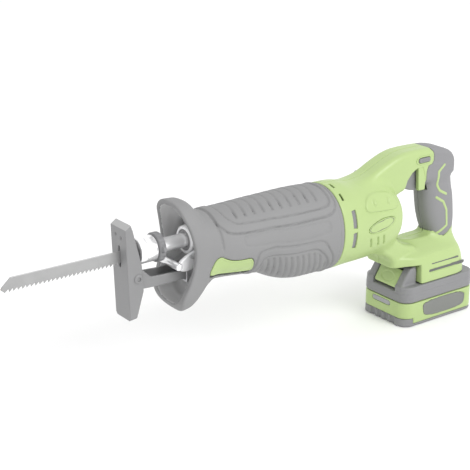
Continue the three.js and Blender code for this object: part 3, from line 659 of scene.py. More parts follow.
# ------------------------------------------------------------------ rubber boot with its guard
BOOT = [[-40, 47, -69, 33, 3], [-50, 47, -69, 33, 3], [-62, 47.8, -69.5, 34, 2.8],
        [-70, 47.7, -69, 34.3, 2.6], [-76, 45.5, -66.5, 34.6, 2.4], [-82, 39.5, -60.8, 34.9, 2.25],
        [-87, 34, -54, 35.3, 2.15], [-92, 31.2, -48.6, 36, 2.1], [-98, 30.8, -45, 37, 2],
        [-104, 30.8, -43.8, 38, 2], [-110, 30.9, -44, 39, 2], [-135, 31.3, -46.4, 41, 2],
        [-150, 31.8, -48.6, 41.6, 2], [-162, 32.2, -50.8, 42.2, 2], [-172, 32.5, -55.6, 42.7, 2],
        [-183, 32.8, -60.8, 43.2, 2], [-196, 33, -65, 43.7, 2.05], [-212, 33, -67.2, 44, 2.1],
        [-230, 32.5, -67.7, 44, 2.1], [-246, 31.3, -67.8, 44, 2.1], [-256, 30, -67.5, 43.9, 2.1],
        [-264, 30, -67.5, 43.9, 2.1]]
RIM = [(-57, 62), (-57, 52), (-59, 44), (-61, 34), (-65, 24), (-69, 7), (-70, -3), (-68, -18),
       (-62, -36), (-56, -50), (-57, -60), (-62, -69), (-68, -76), (-70, -90), (0, -90), (0, 62)]
LEVER = [(-86.5, -26.5), (-88, -21), (-92.5, -12), (-98.5, -9.7), (-102.5, -12.5), (-111, -16.5),
         (-123, -18.3), (-133.5, -17.8), (-137.5, -21.8), (-140, -30), (-141, -36), (-125, -34.5),
         (-103, -31.5), (-88, -29.5)]
# Outlines of the moulded panels: place along X and degrees round from the top.
TOP_BORDER = [(-99, -30), (-99, 28), (-100, 42), (-105, 53), (-110, 60), (-121, 63.6), (-148, 64.5),
              (-177, 63), (-197, 62), (-224, 61), (-240, 60), (-249, 52), (-252, 38), (-252, -30)]
TOP_PANEL = [(-112, -30), (-112, 15), (-113, 31), (-117.5, 40.5), (-122, 47.5), (-144, 49),
             (-162, 50), (-188, 49.4), (-214, 49.6), (-236, 48.6), (-244, 43), (-246, 30),
             (-246, -30)]
LOW_BORDER = [(-142, 200), (-142, 117), (-142, 101), (-150, 96), (-174, 92), (-207, 89), (-228, 90),
              (-236, 104), (-245, 119), (-247, 140), (-247, 200)]
LOW_PANEL = [(-149, 200), (-149, 118), (-150, 110), (-157, 108), (-182, 103), (-208, 99),
             (-219, 100), (-230, 110), (-239, 124), (-241, 140), (-241, 200)]
BAND = [(-124, 70), (-130, 67.5), (-232, 65), (-238, 68), (-238, 80), (-232, 84.5), (-142, 89),
        (-128, 87), (-124, 82)]
ARC = 0.72  # millimetres round the boot for one degree


def boot_relief(along, degrees):
    """Depth below the plain barrel: a V groove on each panel's outline, sunk panels, grooves over
    the top, slanted ribs below, a sunk band between them and a crease behind the guard."""
    deep = sizes().groove / MM

    def panel(points):
        scaled = softened([(a, d * ARC) for a, d in points], 2)
        return outline_distance(scaled, along, degrees * ARC)

    border, inner = panel(TOP_BORDER), panel(TOP_PANEL)
    low_border, low_inner, band = panel(LOW_BORDER), panel(LOW_PANEL), panel(BAND)
    depth = 1.3 * deep * (np.exp(-(border / 0.95) ** 2) + np.exp(-(inner / 1.0) ** 2))
    depth = (depth + 1.2 * deep * np.exp(-(low_border / 0.95) ** 2)
             + 1.2 * deep * np.exp(-(low_inner / 1.0) ** 2))
    depth = (depth - 0.5 * step(-border, 0.5, 2.0) * step(inner, 0.5, 2.0)
             + 0.5 * step(-inner, 0.5, 2.0))
    depth = (depth - 0.4 * step(-low_border, 0.5, 2.0) * step(low_inner, 0.5, 2.0)
             + 0.4 * step(-low_inner, 0.5, 2.0))
    depth = depth + 0.8 * step(-band, -0.4, 0.6) - 0.5 * step(-band, 1.8, 2.8)
    lane = (along + 127 - 0.08 * (degrees - 18)) / 11.45
    across = np.abs(lane - np.round(lane)) * 11.45
    run = step(-inner, 2.5, 5) * (0.45 + 0.35 * step(degrees, 13, 22)) * (1 - step(degrees, 36, 39))
    first = (along < -121) & (along > -236)
    depth = depth + 1.8 * deep * np.exp(-(across / 1.25) ** 2) * run * first
    rib = (along + 165 + 0.268 * (degrees - 105)) / 7.6
    ripple = 0.5 - 0.5 * np.cos(2 * math.pi * rib)
    depth = (depth + 1.25 * deep * ripple ** 2 * step(-low_inner, 1.5, 4)
             * (1 - step(degrees, 150, 158)))
    guard = 1.2 * deep * np.exp(-((along + 100.5) / 1.0) ** 2) * (1 - step(degrees, 80, 90))
    tail = (0.5 * deep * np.exp(-((along + 250.5) / 0.7) ** 2) * step(border, 1, 3)
            * step(low_border, 1, 3))
    return depth + guard + tail


def make_boot():
    """Superellipse sections along X, less the relief, the room inside, all in front of the rim
    and the lever's window."""
    relief = chart(boot_relief, (-264, 0), (-40, 180), 0.5)
    rim, window = flat(RIM, 2), flat(LEVER, 1)

    def field(x, y, z):
        body = barrel(BOOT, x, y, z)
        body = (body + relief(x, angle_round(BOOT, x, y, z)) * step(x, -258, -254)
                * step(-x, 88, 100))
        body = within(body, -256 - x, 1.6)
        lip = step(x, -84, -72) * (2.2 + 3.4 * step(-z, 18, 40))
        body = carve(body, barrel(BOOT, x, y, z, 3.6) + lip, 1.6)
        body = carve(body, rim(x, z), 2.4)
        frame_gap = np.minimum(window(x, z), np.minimum(window(x, z + 1), window(x, z + 2))) - 0.6
        return carve(body, np.maximum(frame_gap, 10 - y), 0.9)
    boot = build("boot_and_guard", *skin(field, (-256, -44, -70.5), (-55, 44, 48), coarse() * 1.08),
                 "boot rubber", "saw_body", ["front_boot"], "boot_rubber", sharp=70)

    # Painted fill light: the faces inside the guard get a much lighter rubber colour, standing in for
    # light in the shaded cavity.
    def lining(normal, centre):
        return (barrel(BOOT, *centre) < -3) & ((centre[0] < -73) | (normal[0] < 0.5))
    refinish(boot, "guard lining", lining)


def make_lever():
    """The boot's own curve within the lever's outline, 3 mm thick, with a raised border."""
    shape = flat(LEVER, 1)

    def field(x, y, z):
        side = shape(x, z)
        body = barrel(BOOT, x, y, z) + 0.5 * step(-side, 1.4, 2.2) - 0.1
        body = within(body, -barrel(BOOT, x, y, z, 3.0), 0.6)
        return within(within(body, side, 1.0), 12 - y, 0.6)
    build("release_lever", *skin(field, (-142, 12, -38), (-85.5, 42, -8.5), fine()),
          "green plastic", "shoe_lever", ["shoe_release_lever"], "green_plastic", sharp=60)


# ------------------------------------------------------------------ gearbox nose and plunger
CROSS_PIN = (-58, -16.9)


def make_nose():
    """A stepped ring round the plunger, two cheek plates with bent slots, and the cross pin."""
    ring = flat([(-77, 11.3), (-77, 13.5), (-78, 14.5), (-90, 15.5), (-93, 22), (-102.6, 22),
                 (-102.6, 11.3)], 0)
    cheek = flat([(-58, -20), (-58, -13), (-64, -9), (-74, -4), (-94, -2), (-94, -12), (-74, -23),
                  (-62, -23)], 1)
    slot = flat([(-72, -7.5), (-72, -10), (-77.5, -12.5), (-84, -12.5), (-84, -10.6),
                 (-78.5, -10.6), (-74, -7.5)], 0, 4)

    def field(x, y, z):
        radius = np.hypot(y, z - CLAMP_Z)
        nose = ring(x, radius) - 0.3
        nose = carve(nose, radius - 11.15, 0.5)
        plates = slab(cheek, x, z, np.abs(y), 15.8, 20, 0.9)
        plates = carve(plates, np.maximum(slot(x, z), 17.5 - np.abs(y)), 0.5)
        nose = blend(nose, plates, 2.5)
        return carve(nose, np.hypot(x - CROSS_PIN[0], z - CROSS_PIN[1]) - 4.05, 0.5)
    build("nose_casting", *skin(field, (-102.6, -22, -24), (-53.5, 22, 25), fine()),
          "cast aluminium", "saw_body", ["gearbox_nose"], "cast_aluminium", sharp=45)
    ends = [(-21, 0), (-21, 2.9), (-20.6, 3.5), (-20, 3.8), (20, 3.8), (20.6, 3.5), (21, 2.9),
            (21, 0)]
    build("cross_pin", *capped(turned(ends, "y", (CROSS_PIN[0], 0, CROSS_PIN[1]), 48)),
          "bright steel", "saw_body", ["shoe_lock_pin"], "bright_steel", sharp=30)


def make_plunger():
    """A round bar in front and a thinner one behind, with a slotted yoke between them."""
    def field(x, y, z):
        front = np.maximum(np.hypot(y, z - CLAMP_Z) - 7.5, np.maximum(x + 47.35, -144 - x))
        rear = np.maximum(np.hypot(y, z - CLAMP_Z) - 5, np.maximum(x + 158, -202 - x))
        yoke = crate(x, y, z, (-159, -143), (-21, 21), (-4.3, 9), 1.5)
        body = blend(blend(front, yoke, 1.5), rear, 1.5)
        return carve(body, crate(x, y, z, (-155.5, -146.5), (-18, 18), (-12, 3), 1), 0.4)
    build("plunger_and_yoke", *skin(field, (-202, -21, -5), (-47, 21, 10.5), 0.9), "bright steel",
          "reciprocating_set", ["plunger"], "bright_steel", sharp=40)


# Place along X, height and depth of each case screw's face.
SCREWS = [(-276, 16, 30), (-276, -52, 30), (-338, 20, 33), (-366, 30, 12), (-437, 28, 9),
          (-440, -40, 9.5), (-372, -74, 30)]


def make_screws():
    """Round heads carried round their own axes, with a six-lobed socket."""
    def screw(axis, centre, radius, length, face):
        head = [(0, 0), (0, 0.45), (0.05, 0.5), (1, 0.52), (1.15, 0.55), (1.2, 0.9), (1.0, 1.0),
                (-length, 1.0), (-length, 0)]
        places = np.array([a for a, _ in head])
        reach = np.array([r * radius for _, r in head])
        ring = np.stack([places * face, reach], 1)

        def socket(along, angle):
            in_socket = (np.abs(along) <= 1.16) & (np.arange(len(head))[:, None] < 5)
            return np.where(in_socket, 0.08 * radius * np.cos(6 * angle), 0)
        return capped(turned(ring, axis, centre, 60, socket))
    for i, (x, z, wide) in enumerate(SCREWS):
        build(f"case_screw_{i + 1}", *screw("y", (x, -wide, z), 2.85, 3, -1), "plain steel",
              "saw_body", [f"housing_screw_{i + 1}"], "plain_steel", sharp=30)
    for i, y in enumerate((-15.5, 15.5)):
        build(f"nose_screw_{i + 1}", *screw("x", (-92.4, y, CLAMP_Z + 9), 2.95, 3, 1),
              "plain steel", "saw_body", [f"gearbox_screw_{i + 1}"], "plain_steel", sharp=30)


# ------------------------------------------------------------------ housing and handle
DRUM = [[-250, 30.3, -67.5, 43.8, 2.1], [-256.35, 30.3, -67.5, 43.8, 2.1],
        [-274, 30, -66.8, 43.4, 2.1], [-290, 27.3, -66, 42.6, 2.2], [-311, 26.3, -65, 41.2, 2.3],
        [-330, 23, -62, 39.2, 2.4], [-343, 17, -57, 37, 2.4], [-351, 9, -50, 33.5, 2.3],
        [-355.5, -1, -42, 26, 2.2], [-364, -10, -34, 18, 2.2]]
HEAD = [(-300, -8), (-300, 20), (-314, 28), (-329, 35.5), (-343.5, 42), (-358.5, 47.3),
        (-374, 49.5), (-405, 49), (-422, 47.5), (-438, 43), (-448, 36), (-451, 25), (-449.5, 10),
        (-399, 6), (-369, 4), (-350, -4), (-330, -8)]
TRIGGER_BAY = [(-400, -20), (-400, 28), (-383.5, 28), (-369, 12), (-366, -20)]
GRIP = [[30, -402, -449.5, 16.4, 2.6], [24, -402, -449.5, 16.4, 2.6], [0, -405, -452.5, 16.8, 2.5],
        [-17, -407, -457, 17.2, 2.4], [-33, -410, -459, 17.2, 2.4], [-46, -414, -460, 16.8, 2.4],
        [-60, -419, -459.5, 16.4, 2.4], [-72, -419, -459.5, 17, 2.6], [-80, -419, -459.5, 17, 2.6]]
FOOT = [[-58, -380, -450, 10, 3], [-61, -376, -452, 13, 3], [-68, -364, -456, 22, 3.4],
        [-76, -353, -458.5, 32, 4.2], [-86, -350, -460, 35.2, 5], [-107, -350, -461, 36.5, 6],
        [-112, -350, -461, 36.5, 6]]
FOOT_ROOM = [[-66, -382, -448, 15, 3], [-76, -362, -452, 27, 4], [-87, -362, -452, 30, 5],
             [-90, -362, -452, 30, 5]]
STRUT = [(-318, -48), (-325, -60), (-338, -67), (-349, -75), (-351, -84), (-388, -84), (-388, -64),
         (-368, -59), (-356, -50), (-346, -38)]
SKIN_ZONE = [(-404, 60), (-408, 48), (-412.5, 43), (-412.5, 30.5), (-402, 28), (-402, 2),
             (-396, -5), (-390, -10), (-390, -50), (-401, -54), (-413, -62), (-427, -66),
             (-442, -62), (-448, -57), (-475, -50), (-475, 60)]
SIDE_PANEL = [(-287, 0.5), (-297, 17.5), (-329, 15.7), (-338, 8), (-341, -5), (-310, -1.7)]
SKIN_DEEP = 2.4
HEAD_HALF = 17  # half the width of the head over the grip
VENTS = [[(-275, high), (-269, high - 1), (-269, low + 1), (-275, low)]
         for low, high in ((-14, 6.5), (-37, -18))]
BADGE = (-313.5, -18.5, 21, 7)


def charts():
    """The side outlines shared by the housing and the skin on its grip."""
    return flat(HEAD, 1), flat(TRIGGER_BAY, 1, 40), flat(SKIN_ZONE, 1, 12)


def drum_relief(along, height):
    """Depth below the plain drum by place along X and height: a raised side panel with two pips
    and three slanted grooves under it."""
    side = outline_distance(softened(SIDE_PANEL, 2), along, height)
    depth = -1.0 * step(-side, -0.4, 0.5) + 0.7 * np.exp(-((side - 0.9) / 0.6) ** 2)
    for x, low, high in ((-304, 5.2, 11.6), (-325, 3.4, 10.4)):
        bump = pill(height, along, low, high, x - 2.2, x + 2.2)
        depth = depth - 1.7 * step(-bump, -0.6, 1.5)
    for x in (-297, -308, -317.5):
        t = np.clip((-32 - height) / 10, 0, 1)
        stroke = np.hypot(along - (x - 3.2 * t), height - (-32 - 10 * t)) - 1.1
        depth = depth + 2.0 * step(-stroke, -0.6, 0.5)
    return depth


def head_slab(head, x, y, z):
    return slab(head, x, z, y, -HEAD_HALF, HEAD_HALF, 7)


def grip_column(x, y, z):
    return within(column(GRIP, x, y, z), np.maximum(z - 26, -78 - z), 0.6)


def body_distance(x, y, z, head, bay):
    """Arm, head and grip as one solid, less the trigger's bay."""
    solid = blend(head_slab(head, x, y, z), grip_column(x, y, z), 7)
    return carve(solid, bay(x, z), 1.4)


def switch_room(x, y, z):
    """The space behind the trigger that its switch stands in."""
    return crate(x, y, z, (-414, -399), (-11, 11), (-3, 27), 0.5)


def button_hole(x, z):
    return pill(x, z, -406.4, -387.6, 33.6, 40.0)


def housing_field(side):
    """Drum, arm, strut and foot blended into one shell, hollow inside, halved along y = 0."""
    head, bay, zone = charts()
    strut, relief = flat(STRUT, 1), chart(drum_relief, (-360, -70), (-250, 34), 0.5)
    vents = [flat(points, 0, 5) for points in VENTS]

    def field(x, y, z):
        drum = barrel(DRUM, x, y, z)
        drum = drum + relief(x, z) * step(np.abs(y), 20, 30)
        drum = within(drum, -355.5 - x, 7)
        solid = body_distance(x, y, z, head, bay)
        shell = blend(drum, head_slab(head, x, y, z), 9)
        brace = slab(strut, x, z, y, -24, 24, 6)
        foot = within(column(FOOT, x, y, z), np.maximum(-107 - z, z + 60), 1.2)
        foot = within(foot, ((x + 350) * 16 + (np.abs(y) - 21) * 33) / 36.7, 4)
        foot = carve(foot, np.maximum(-384 - x, z + 84), 1.5)
        for low, high, wide, shift in ((-400, -445, 1.1, -86), (-396, -455, 2.3, -94)):
            slot = np.maximum(pill(x, z, high, low, shift - wide, shift + wide), 34.7 - np.abs(y))
            foot = carve(foot, slot, 0.4)
        groove = np.maximum(np.abs(z + 76.5) - 0.5, np.maximum(x + 392, -448 - x))
        foot = foot + 0.5 * step(-groove, -0.5, 0.5)
        grip = grip_column(x, y, z)
        lower = blend(blend(foot, grip, 9), brace, 7)
        shell = blend(shell, brace, 9)
        shell = np.minimum(blend(shell, grip, 7), lower)
        shell = carve(shell, bay(x, z), 1.4)
        room = np.maximum(np.maximum(solid - GAP, zone(x, z)), -(solid + SKIN_DEEP + GAP))
        shell = carve(shell, room, 0.6)
        drum_room = np.maximum(barrel(DRUM, x, y, z, 3), -351.5 - x)
        grip_room = np.maximum(column(GRIP, x, y, z, 5.4), np.maximum(z - 24, -78 - z))
        head_room = slab(head, x, z, y, -HEAD_HALF, HEAD_HALF, 2, 5.6)
        foot_room = np.maximum(column(FOOT_ROOM, x, y, z), np.maximum(z + 66, -87 - z))
        strut_room = slab(strut, x, z, y, -24, 24, 2, 4.6)
        inside = np.minimum(np.minimum(np.minimum(drum_room, grip_room),
                                       np.minimum(head_room, foot_room)), strut_room)
        shell = carve(shell, inside, 1.0)
        shell = carve(shell, crate(x, y, z, (-462, -300), (-25.6, 25.6), (-103, -91), 0.6), 0.5)
        shell = carve(shell, crate(x, y, z, (-462, -300), (-20.6, 20.6), (-130, -100), 0.6), 0.5)
        shell = carve(shell, switch_room(x, y, z), 0.5)
        shell = carve(shell, button_hole(x, z), 0.5)
        for vent in vents:
            shell = carve(shell, np.maximum(vent(x, z), 30 - np.abs(y)), 0.6)
        arc = np.maximum(np.abs(x + 263.5) - 1.3,
                         np.abs(np.abs(angle_round(DRUM, x, y, z) - 26) - 12) - 6)
        shell = carve(shell, np.maximum(arc, -z), 0.6)
        if side > 0:
            oval = badge_oval(x, z, 0.45)
            shell = carve(shell, np.maximum(np.maximum(oval, 20 - y),
                                            -(barrel(DRUM, x, y, z) + 1.3)), 0.4)
        else:
            for sx, sz, wide in SCREWS:
                hole = np.maximum(np.hypot(x - sx, z - sz) - 3.3, y + wide - 4.5)
                shell = carve(shell, hole, 0.7)
        shell = within(shell, x + 256.35, 1.2)
        return within(shell, GAP / 2 - side * y, 0.8)
    return field


def badge_oval(x, z, grow):
    """Distance to the badge's oval, turned a little down at the back."""
    cx, cz, wide, tall = BADGE
    turn = -0.12
    u = (x - cx) * math.cos(turn) + (z - cz) * math.sin(turn)
    v = -(x - cx) * math.sin(turn) + (z - cz) * math.cos(turn)
    return superellipse(u, v, wide + grow, tall + grow, 2.0)


def make_housing():
    """The shell's surface, once for each side."""
    for name, side in SIDES:
        low, high = sorted((side * 0.1, side * 44))
        mesh = skin(housing_field(side), (-461, low, -107), (-256.3, high, 50), coarse() * 0.87)
        build(f"housing_{name}", *mesh, "green plastic", "saw_body", [f"motor_housing_{name}"],
              "green_plastic", sharp=60)


def build_pair(stem, field, low, high, cell, material, slot):
    """One field made a piece on the left side and again on the right, its Y limits turned over."""
    (x0, y0, z0), (x1, y1, z1) = low, high
    for name, near, far in (("left", y0, y1), ("right", -y1, -y0)):
        build(f"{stem}_{name}", *skin(field, (x0, near, z0), (x1, far, z1), cell), material,
              "saw_body", (), slot, sharp=50)


def make_vent_shade_sheets():
    """A dark sheet of painted shade behind the vents: a layer of the drum 0.9 mm thick, its middle
    2.1 mm below the surface.
    """
    openings = [flat(points, 0, 5) for points in VENTS]

    def field(x, y, z):
        layer = np.abs(barrel(DRUM, x, y, z) + 2.1) - 0.45
        hole = np.minimum(openings[0](x, z), openings[1](x, z)) - 1.0
        return np.maximum(np.maximum(layer, hole), 30 - np.abs(y))
    build_pair("vent_screen", field, (-277, 30, -39), (-267, 43, 9), 0.6, "vent screen",
               "dark_plastic")


def make_badge():
    """The drum's surface within an oval, 1.3 mm thick, with a sunk plain field inside a rim and a
    dark line of painted shade in the groove where they meet."""
    def field(x, y, z):
        oval = badge_oval(x, z, 0)
        face = barrel(DRUM, x, y, z) + 0.55 * step(-oval, 1.1, 1.7) - 0.25
        return within(within(face, -(barrel(DRUM, x, y, z) + 1.05), 0.3), np.maximum(oval, 20 - y),
                      0.4)
    build("plain_badge", *skin(field, (-335, 36, -28), (-292, 43, -9), 0.6), "green plastic",
          "saw_body", ["badge_plate"], "green_plastic", sharp=50)

    # Painted shade: a thin near-black ring set in the groove between the badge's rim and field
    def rim_field(x, y, z):
        oval = badge_oval(x, z, 0)
        face = barrel(DRUM, x, y, z) + 0.12
        return within(within(face, -(barrel(DRUM, x, y, z) + 0.9), 0.2), np.abs(oval + 2.0) - 0.5,
                      0.2)
    build("badge_line", *skin(rim_field, (-335, 36, -28), (-292, 43, -9), 0.45), "gap shadow",
          "saw_body", (), "dark_plastic", sharp=50)


def make_skin():
    """The outer 2.4 mm of the head and grip inside the skin's side outline."""
    for name, side in SIDES:
        head, bay, zone = charts()

        def field(x, y, z):
            solid = body_distance(x, y, z, head, bay)
            outside = np.maximum(zone(x, z), np.maximum(zone(x + GAP, z), zone(x, z - GAP)))
            cover = within(solid, outside, 1.1)
            cover = within(cover, -(solid + SKIN_DEEP), 0.5)
            cover = carve(cover, switch_room(x, y, z), 0.4)
            cover = carve(cover, button_hole(x, z), 0.4)
            if side < 0:
                for sx, sz, _ in SCREWS[4:6]:
                    cover = carve(cover, np.hypot(x - sx, z - sz) - 3.4, 0.6)
            return within(cover, GAP / 2 - side * y, 0.7)
        low, high = sorted((side * 0.1, side * 18))
        mesh = skin(field, (-461, low, -67), (-400, high, 50),
                    0.9 * (1))
        build(f"grip_skin_{name}", *mesh, "grip rubber", "saw_body", [f"grip_overmould_{name}"],
              "boot_rubber", sharp=60)


def path_distance(points, a, b):
    """Distance to an open line of straight pieces."""
    best = np.inf
    for (pa, pb), (qa, qb) in zip(points[:-1], points[1:]):
        da, db = qa - pa, qb - pb
        along = np.clip(((a - pa) * da + (b - pb) * db) / (da * da + db * db), 0, 1)
        best = np.minimum(best, np.hypot(a - pa - along * da, b - pb - along * db))
    return best


UPPER_INLAY = [(-429, 26), (-420.5, 19), (-420.8, 2), (-425, -5), (-436, -11)]
LOWER_INLAY = [(-421, -13), (-432, -20), (-438, -31), (-440.5, -51), (-426, -59.5)]


def make_trim():
    """Green lines laid into the grip: the grip's surface within 1.6 mm of a bent line. The frame
    round the button is the head's surface in a ring, the strip beside the trigger is a plate with
    round edges, and the slot shades are thin near-black plates of painted shade behind the foot's
    slots."""
    head, bay, _ = charts()

    def nearest_line(a, b):
        return np.minimum(path_distance(UPPER_INLAY, a, b), path_distance(LOWER_INLAY, a, b))
    lines = chart(nearest_line, (-460, -75), (-400, 45), 0.4)

    def inlay(x, y, z):
        solid = body_distance(x, y, z, head, bay)
        line = within(lines(x, z) - 1.6, np.abs(solid + 0.2) - 0.6, 0.5)
        return np.maximum(line, 4 - np.abs(y))
    build_pair("grip_inlay", inlay, (-446, 4, -64), (-415, 18.2, 30), 0.7, "green plastic",
               "green_plastic")
    ring = flat([(-384.5, 31.5), (-410, 31.5), (-411.5, 42), (-384.5, 42)], 2)
    strip = flat([(-391, 0.8), (-401, 0.3), (-402, 31), (-389, 31)], 0)

    def frame_field(x, y, z):
        solid = head_slab(head, x, y, z)
        band = within(ring(x, z), -pill(x, z, -406.5, -387.5, 33.5, 40.1), 0.4)
        frame_body = within(band, np.abs(solid - 0.1) - 0.6, 0.5)
        cheek = slab(strip, x, z, np.abs(y), 11.4, 16.4, 0.9)
        return np.maximum(blend(frame_body, cheek, 1.0), 8 - np.abs(y))
    build_pair("trigger_trim", frame_field, (-412, 9, 0), (-384, 18, 43), 0.7, "green plastic",
               "green_plastic")

    # Painted shade: thin near-black plates set in the foot's slots
    def slot_shades(x, y, z):
        thin = pill(x, z, -445, -400, -87, -85)
        thick = pill(x, z, -455, -396, -96.2, -91.8)
        return np.maximum(np.minimum(thin, thick), np.abs(np.abs(y) - 34.45) - 0.45)
    build_pair("foot_slot_insert", slot_shades, (-455, 33, -97), (-395, 36, -84), 0.55, "gap shadow",
               "dark_plastic")


TRIGGER = [(-400.5, 24.5), (-386, 25), (-370.5, 9.5), (-371, 6.5), (-380, 1.8), (-393, -1),
           (-400.5, -1.5)]


def make_controls():
    """The trigger is its side outline with rounded sides and shallow ribs on its front; the button
    is a bar with round ends, each pressed in at its middle."""
    shape = flat(TRIGGER, 1)

    def trigger(x, y, z):
        body = slab(shape, x, z, y, -10, 10, 2.2)
        ribs = (0.25 * np.maximum(np.cos(z * 2 * math.pi / 3.2), 0) * step(x, -392, -388)
                * (1 - step(np.abs(y), 7.5, 8.5)))
        return body + ribs
    build("trigger_blade", *skin(trigger, (-401, -10, -2), (-370, 10, 25.2), fine()),
          "dark plastic", "trigger", ["trigger"], "dark_plastic", sharp=60)

    def button(x, y, z):
        body = within(pill(x, z, -406, -388, 34, 39.6), np.abs(y) - 18.8, 1.4)
        return carve(body, pill(x, z, -402.5, -391.5, 35.6, 38) + (np.abs(y) < 18) * 9, 0.5)
    build("lock_off_button", *skin(button, (-406, -18.8, 34), (-388, 18.8, 39.6), fine()),
          "dark plastic", "lock_button", ["lock_button"], "dark_plastic", sharp=60)


# ------------------------------------------------------------------ battery
P_FRONT, P_REAR, P_HALF, P_CORNER = -357.7, -473.5, 38.1, 14
LABEL = [(-388, -129.8), (-387, -139), (-391, -149.8), (-451, -149.8), (-456.5, -144),
         (-455.5, -129.8)]


def label_distance(shape, x, y, z, grow):
    return np.maximum(shape(x, z) - grow, P_HALF - 1 - grow - np.abs(y))


def make_battery():
    """Rounded plan views between heights: the upper shell with its front slope and rail, the
    green band, the bumper with scallops, the side panels and the gauge window."""
    label = flat(LABEL, 2)
    hump = flat([(-359, -112), (-359, -108), (-371, -90), (-376, -86.8), (-383.2, -86.8),
                 (-383.2, -112)], 1)
    pocket = flat([(-350, -118), (-350, -84), (-376, -84), (-376, -97), (-366, -114)], 0)

    def upper(x, y, z):
        body = block(x, y, z, P_REAR, P_FRONT, P_HALF, P_CORNER, -127.8, -107.4, 2.6)
        body = body + 0.6 * np.exp(-((z + 116.5) / 0.7) ** 2) + 0.5 * step(z, -116.5, -113)
        body = blend(body, slab(hump, x, z, y, -29, 29, 2.5), 3)
        body = carve(body, block(x, y, z, P_REAR + 3, P_FRONT - 13, P_HALF - 3, P_CORNER - 3, -140,
                                 -110.4, 0.5), 0.4)
        body = carve(body, np.maximum(pocket(x, z), np.abs(y) - 18.5), 0.8)
        rail = np.minimum(crate(x, y, z, (-446, -380), (-25, 25), (-102.6, -94), 0.8),
                          crate(x, y, z, (-446, -380), (-20, 20), (-109, -98), 0.5))
        rail = np.maximum(rail, -np.maximum(np.abs(np.abs(y) - 12) - 1.2,
                                            np.maximum(-447 - x, x + 430)))
        return blend(body, rail, 0.8)
    build("battery_upper", *skin(upper, (-473.5, -38.1, -128), (-357.7, 38.1, -86.5), coarse()),
          "dark plastic", "battery", ["battery_upper_shell"], "dark_plastic", sharp=60)

    def lower(x, y, z):
        body = block(x, y, z, P_REAR, P_FRONT, P_HALF, P_CORNER, -153.6, -128.15, 0.9)
        body = carve(body, block(x, y, z, P_REAR + 3, P_FRONT - 5, P_HALF - 3, P_CORNER - 3, -151,
                                 -120, 0.5), 0.5)
        body = carve(body, np.maximum(P_FRONT - 14.4 - x, z + 147), 1.0)
        body = carve(body, label_distance(label, x, y, z, 0.3), 0.4)
        return carve(body, np.maximum(pill(y, z, -18.4, 12.4, -136.4, -130.1), P_FRONT - 2 - x),
                     0.5)
    build("battery_band", *skin(lower, (-473.5, -38.1, -153.6), (-357.7, 38.1, -128), coarse()),
          "green plastic", "battery", ["battery_lower_shell"], "green_plastic", sharp=60)

    def bumper(x, y, z):
        base = block(x, y, z, P_REAR, P_FRONT, P_HALF, P_CORNER, -157, -153.9, 1.4)
        chin = block(x, y, z, P_FRONT - 40, P_FRONT, P_HALF, P_CORNER, -156.5, -147.35, 1.2)
        chin = within(chin, P_FRONT - 14 - x, 1)
        body = blend(base, chin, 0.8)
        for place in (-16.5, -5.5, 5.5, 16.5):
            body = carve(body, np.hypot(x - P_FRONT - 2, y - place) - 4.4, 0.8)
        return body
    build("battery_bumper_base", *skin(bumper, (-473.5, -38.1, -157), (-357.7, 38.1, -147), 1.0),
          "dark plastic", "battery", ["battery_bumper"], "dark_plastic", sharp=60)
    for name, side in SIDES:
        def panel(x, y, z):
            face = np.abs(y) - P_HALF + 0.45 * step(-label(x, z), 1.0, 1.6)
            return within(within(face, P_HALF - 0.95 - np.abs(y), 0.2),
                          np.maximum(label(x, z), -side * y), 0.4)
        low, high = sorted((side * (P_HALF - 1), side * P_HALF))
        build(f"side_panel_{name}", *skin(panel, (-458, low, -151), (-386, high, -129), 0.55),
              "glossy dark plastic", "battery", [f"label_panel_{name}"], "dark_plastic", sharp=50)

    def lens(x, y, z):
        return within(pill(y, z, -18, 12, -136, -130.5),
                      np.maximum(x - P_FRONT + 0.15, P_FRONT - 1.6 - x), 0.5)
    build("gauge_window", *skin(lens, (-359.5, -18, -136), (-357.7, 12, -130.4), 0.5), "gauge lens",
          "battery", ["charge_gauge_lens"], "lens", sharp=50)
    latch = flat([(-360.4, -112.5), (-359.9, -109.5), (-371.2, -92), (-371.8, -97), (-363.5, -112)],
                 0, 5)

    def button(x, y, z):
        body = slab(latch, x, z, y, -17.8, 17.8, 0.9)
        along = (x + 360) * -0.54 + (z + 110) * 0.84
        dish = np.sqrt(((along - 8) / 7) ** 2 + (y / 12) ** 2)
        return body + 0.55 * (1 - step(dish, 0.75, 1.0))
    build("latch_press", *skin(button, (-372, -17.8, -112.6), (-359.8, 17.8, -91.8), fine()),
          "green plastic", "battery_latch", ["latch_button"], "green_plastic", sharp=60)


INSIDE = {
    "wiper_seal": "boot rubber", "front_bushing": "bronze", "rear_bushing": "bronze",
    "terminal_plus": "bronze",
    "terminal_minus": "bronze", "gearbox_case": "cast aluminium", "stator": "copper winding",
    "cell_pack": "cell wrap", "controller_board": "circuit board", "battery_board": "circuit board",
    "switch_module": "dark plastic", "terminal_block": "dark plastic",
    "cooling_fan": "dark plastic",
    "crank_pin": "bright steel", "blade_lock_pin": "bright steel", "clamp_spring": "plain steel",
    "crank_gear": "plain steel", "crank_axle": "plain steel", "crank_bearing": "plain steel",
    "motor_pinion": "plain steel", "rotor": "plain steel", "front_rotor_bearing": "plain steel",
    "rear_rotor_bearing": "plain steel", "trigger_spring": "plain steel"}


def finish_inside():
    for node, name in INSIDE.items():
        wear_it(node, name)


# ------------------------------------------------------------------ stage
FLOOR_HALF, FLOOR_DROP, FLOOR_LINES = 12, 0.0005, 9
LAMP_PLACE, LAMP_AIM = (-0.5, 1.7, 1.5), (0, 0, 0.12)
CAMERA_PLACE, CAMERA_BACK = (0.72211, 0.94714, 0.56970), (0.5544, 0.7613, 0.3362)


def link(name, data):
    obj = bpy.data.objects.new(name, data)
    bpy.context.scene.collection.objects.link(obj)
    return obj


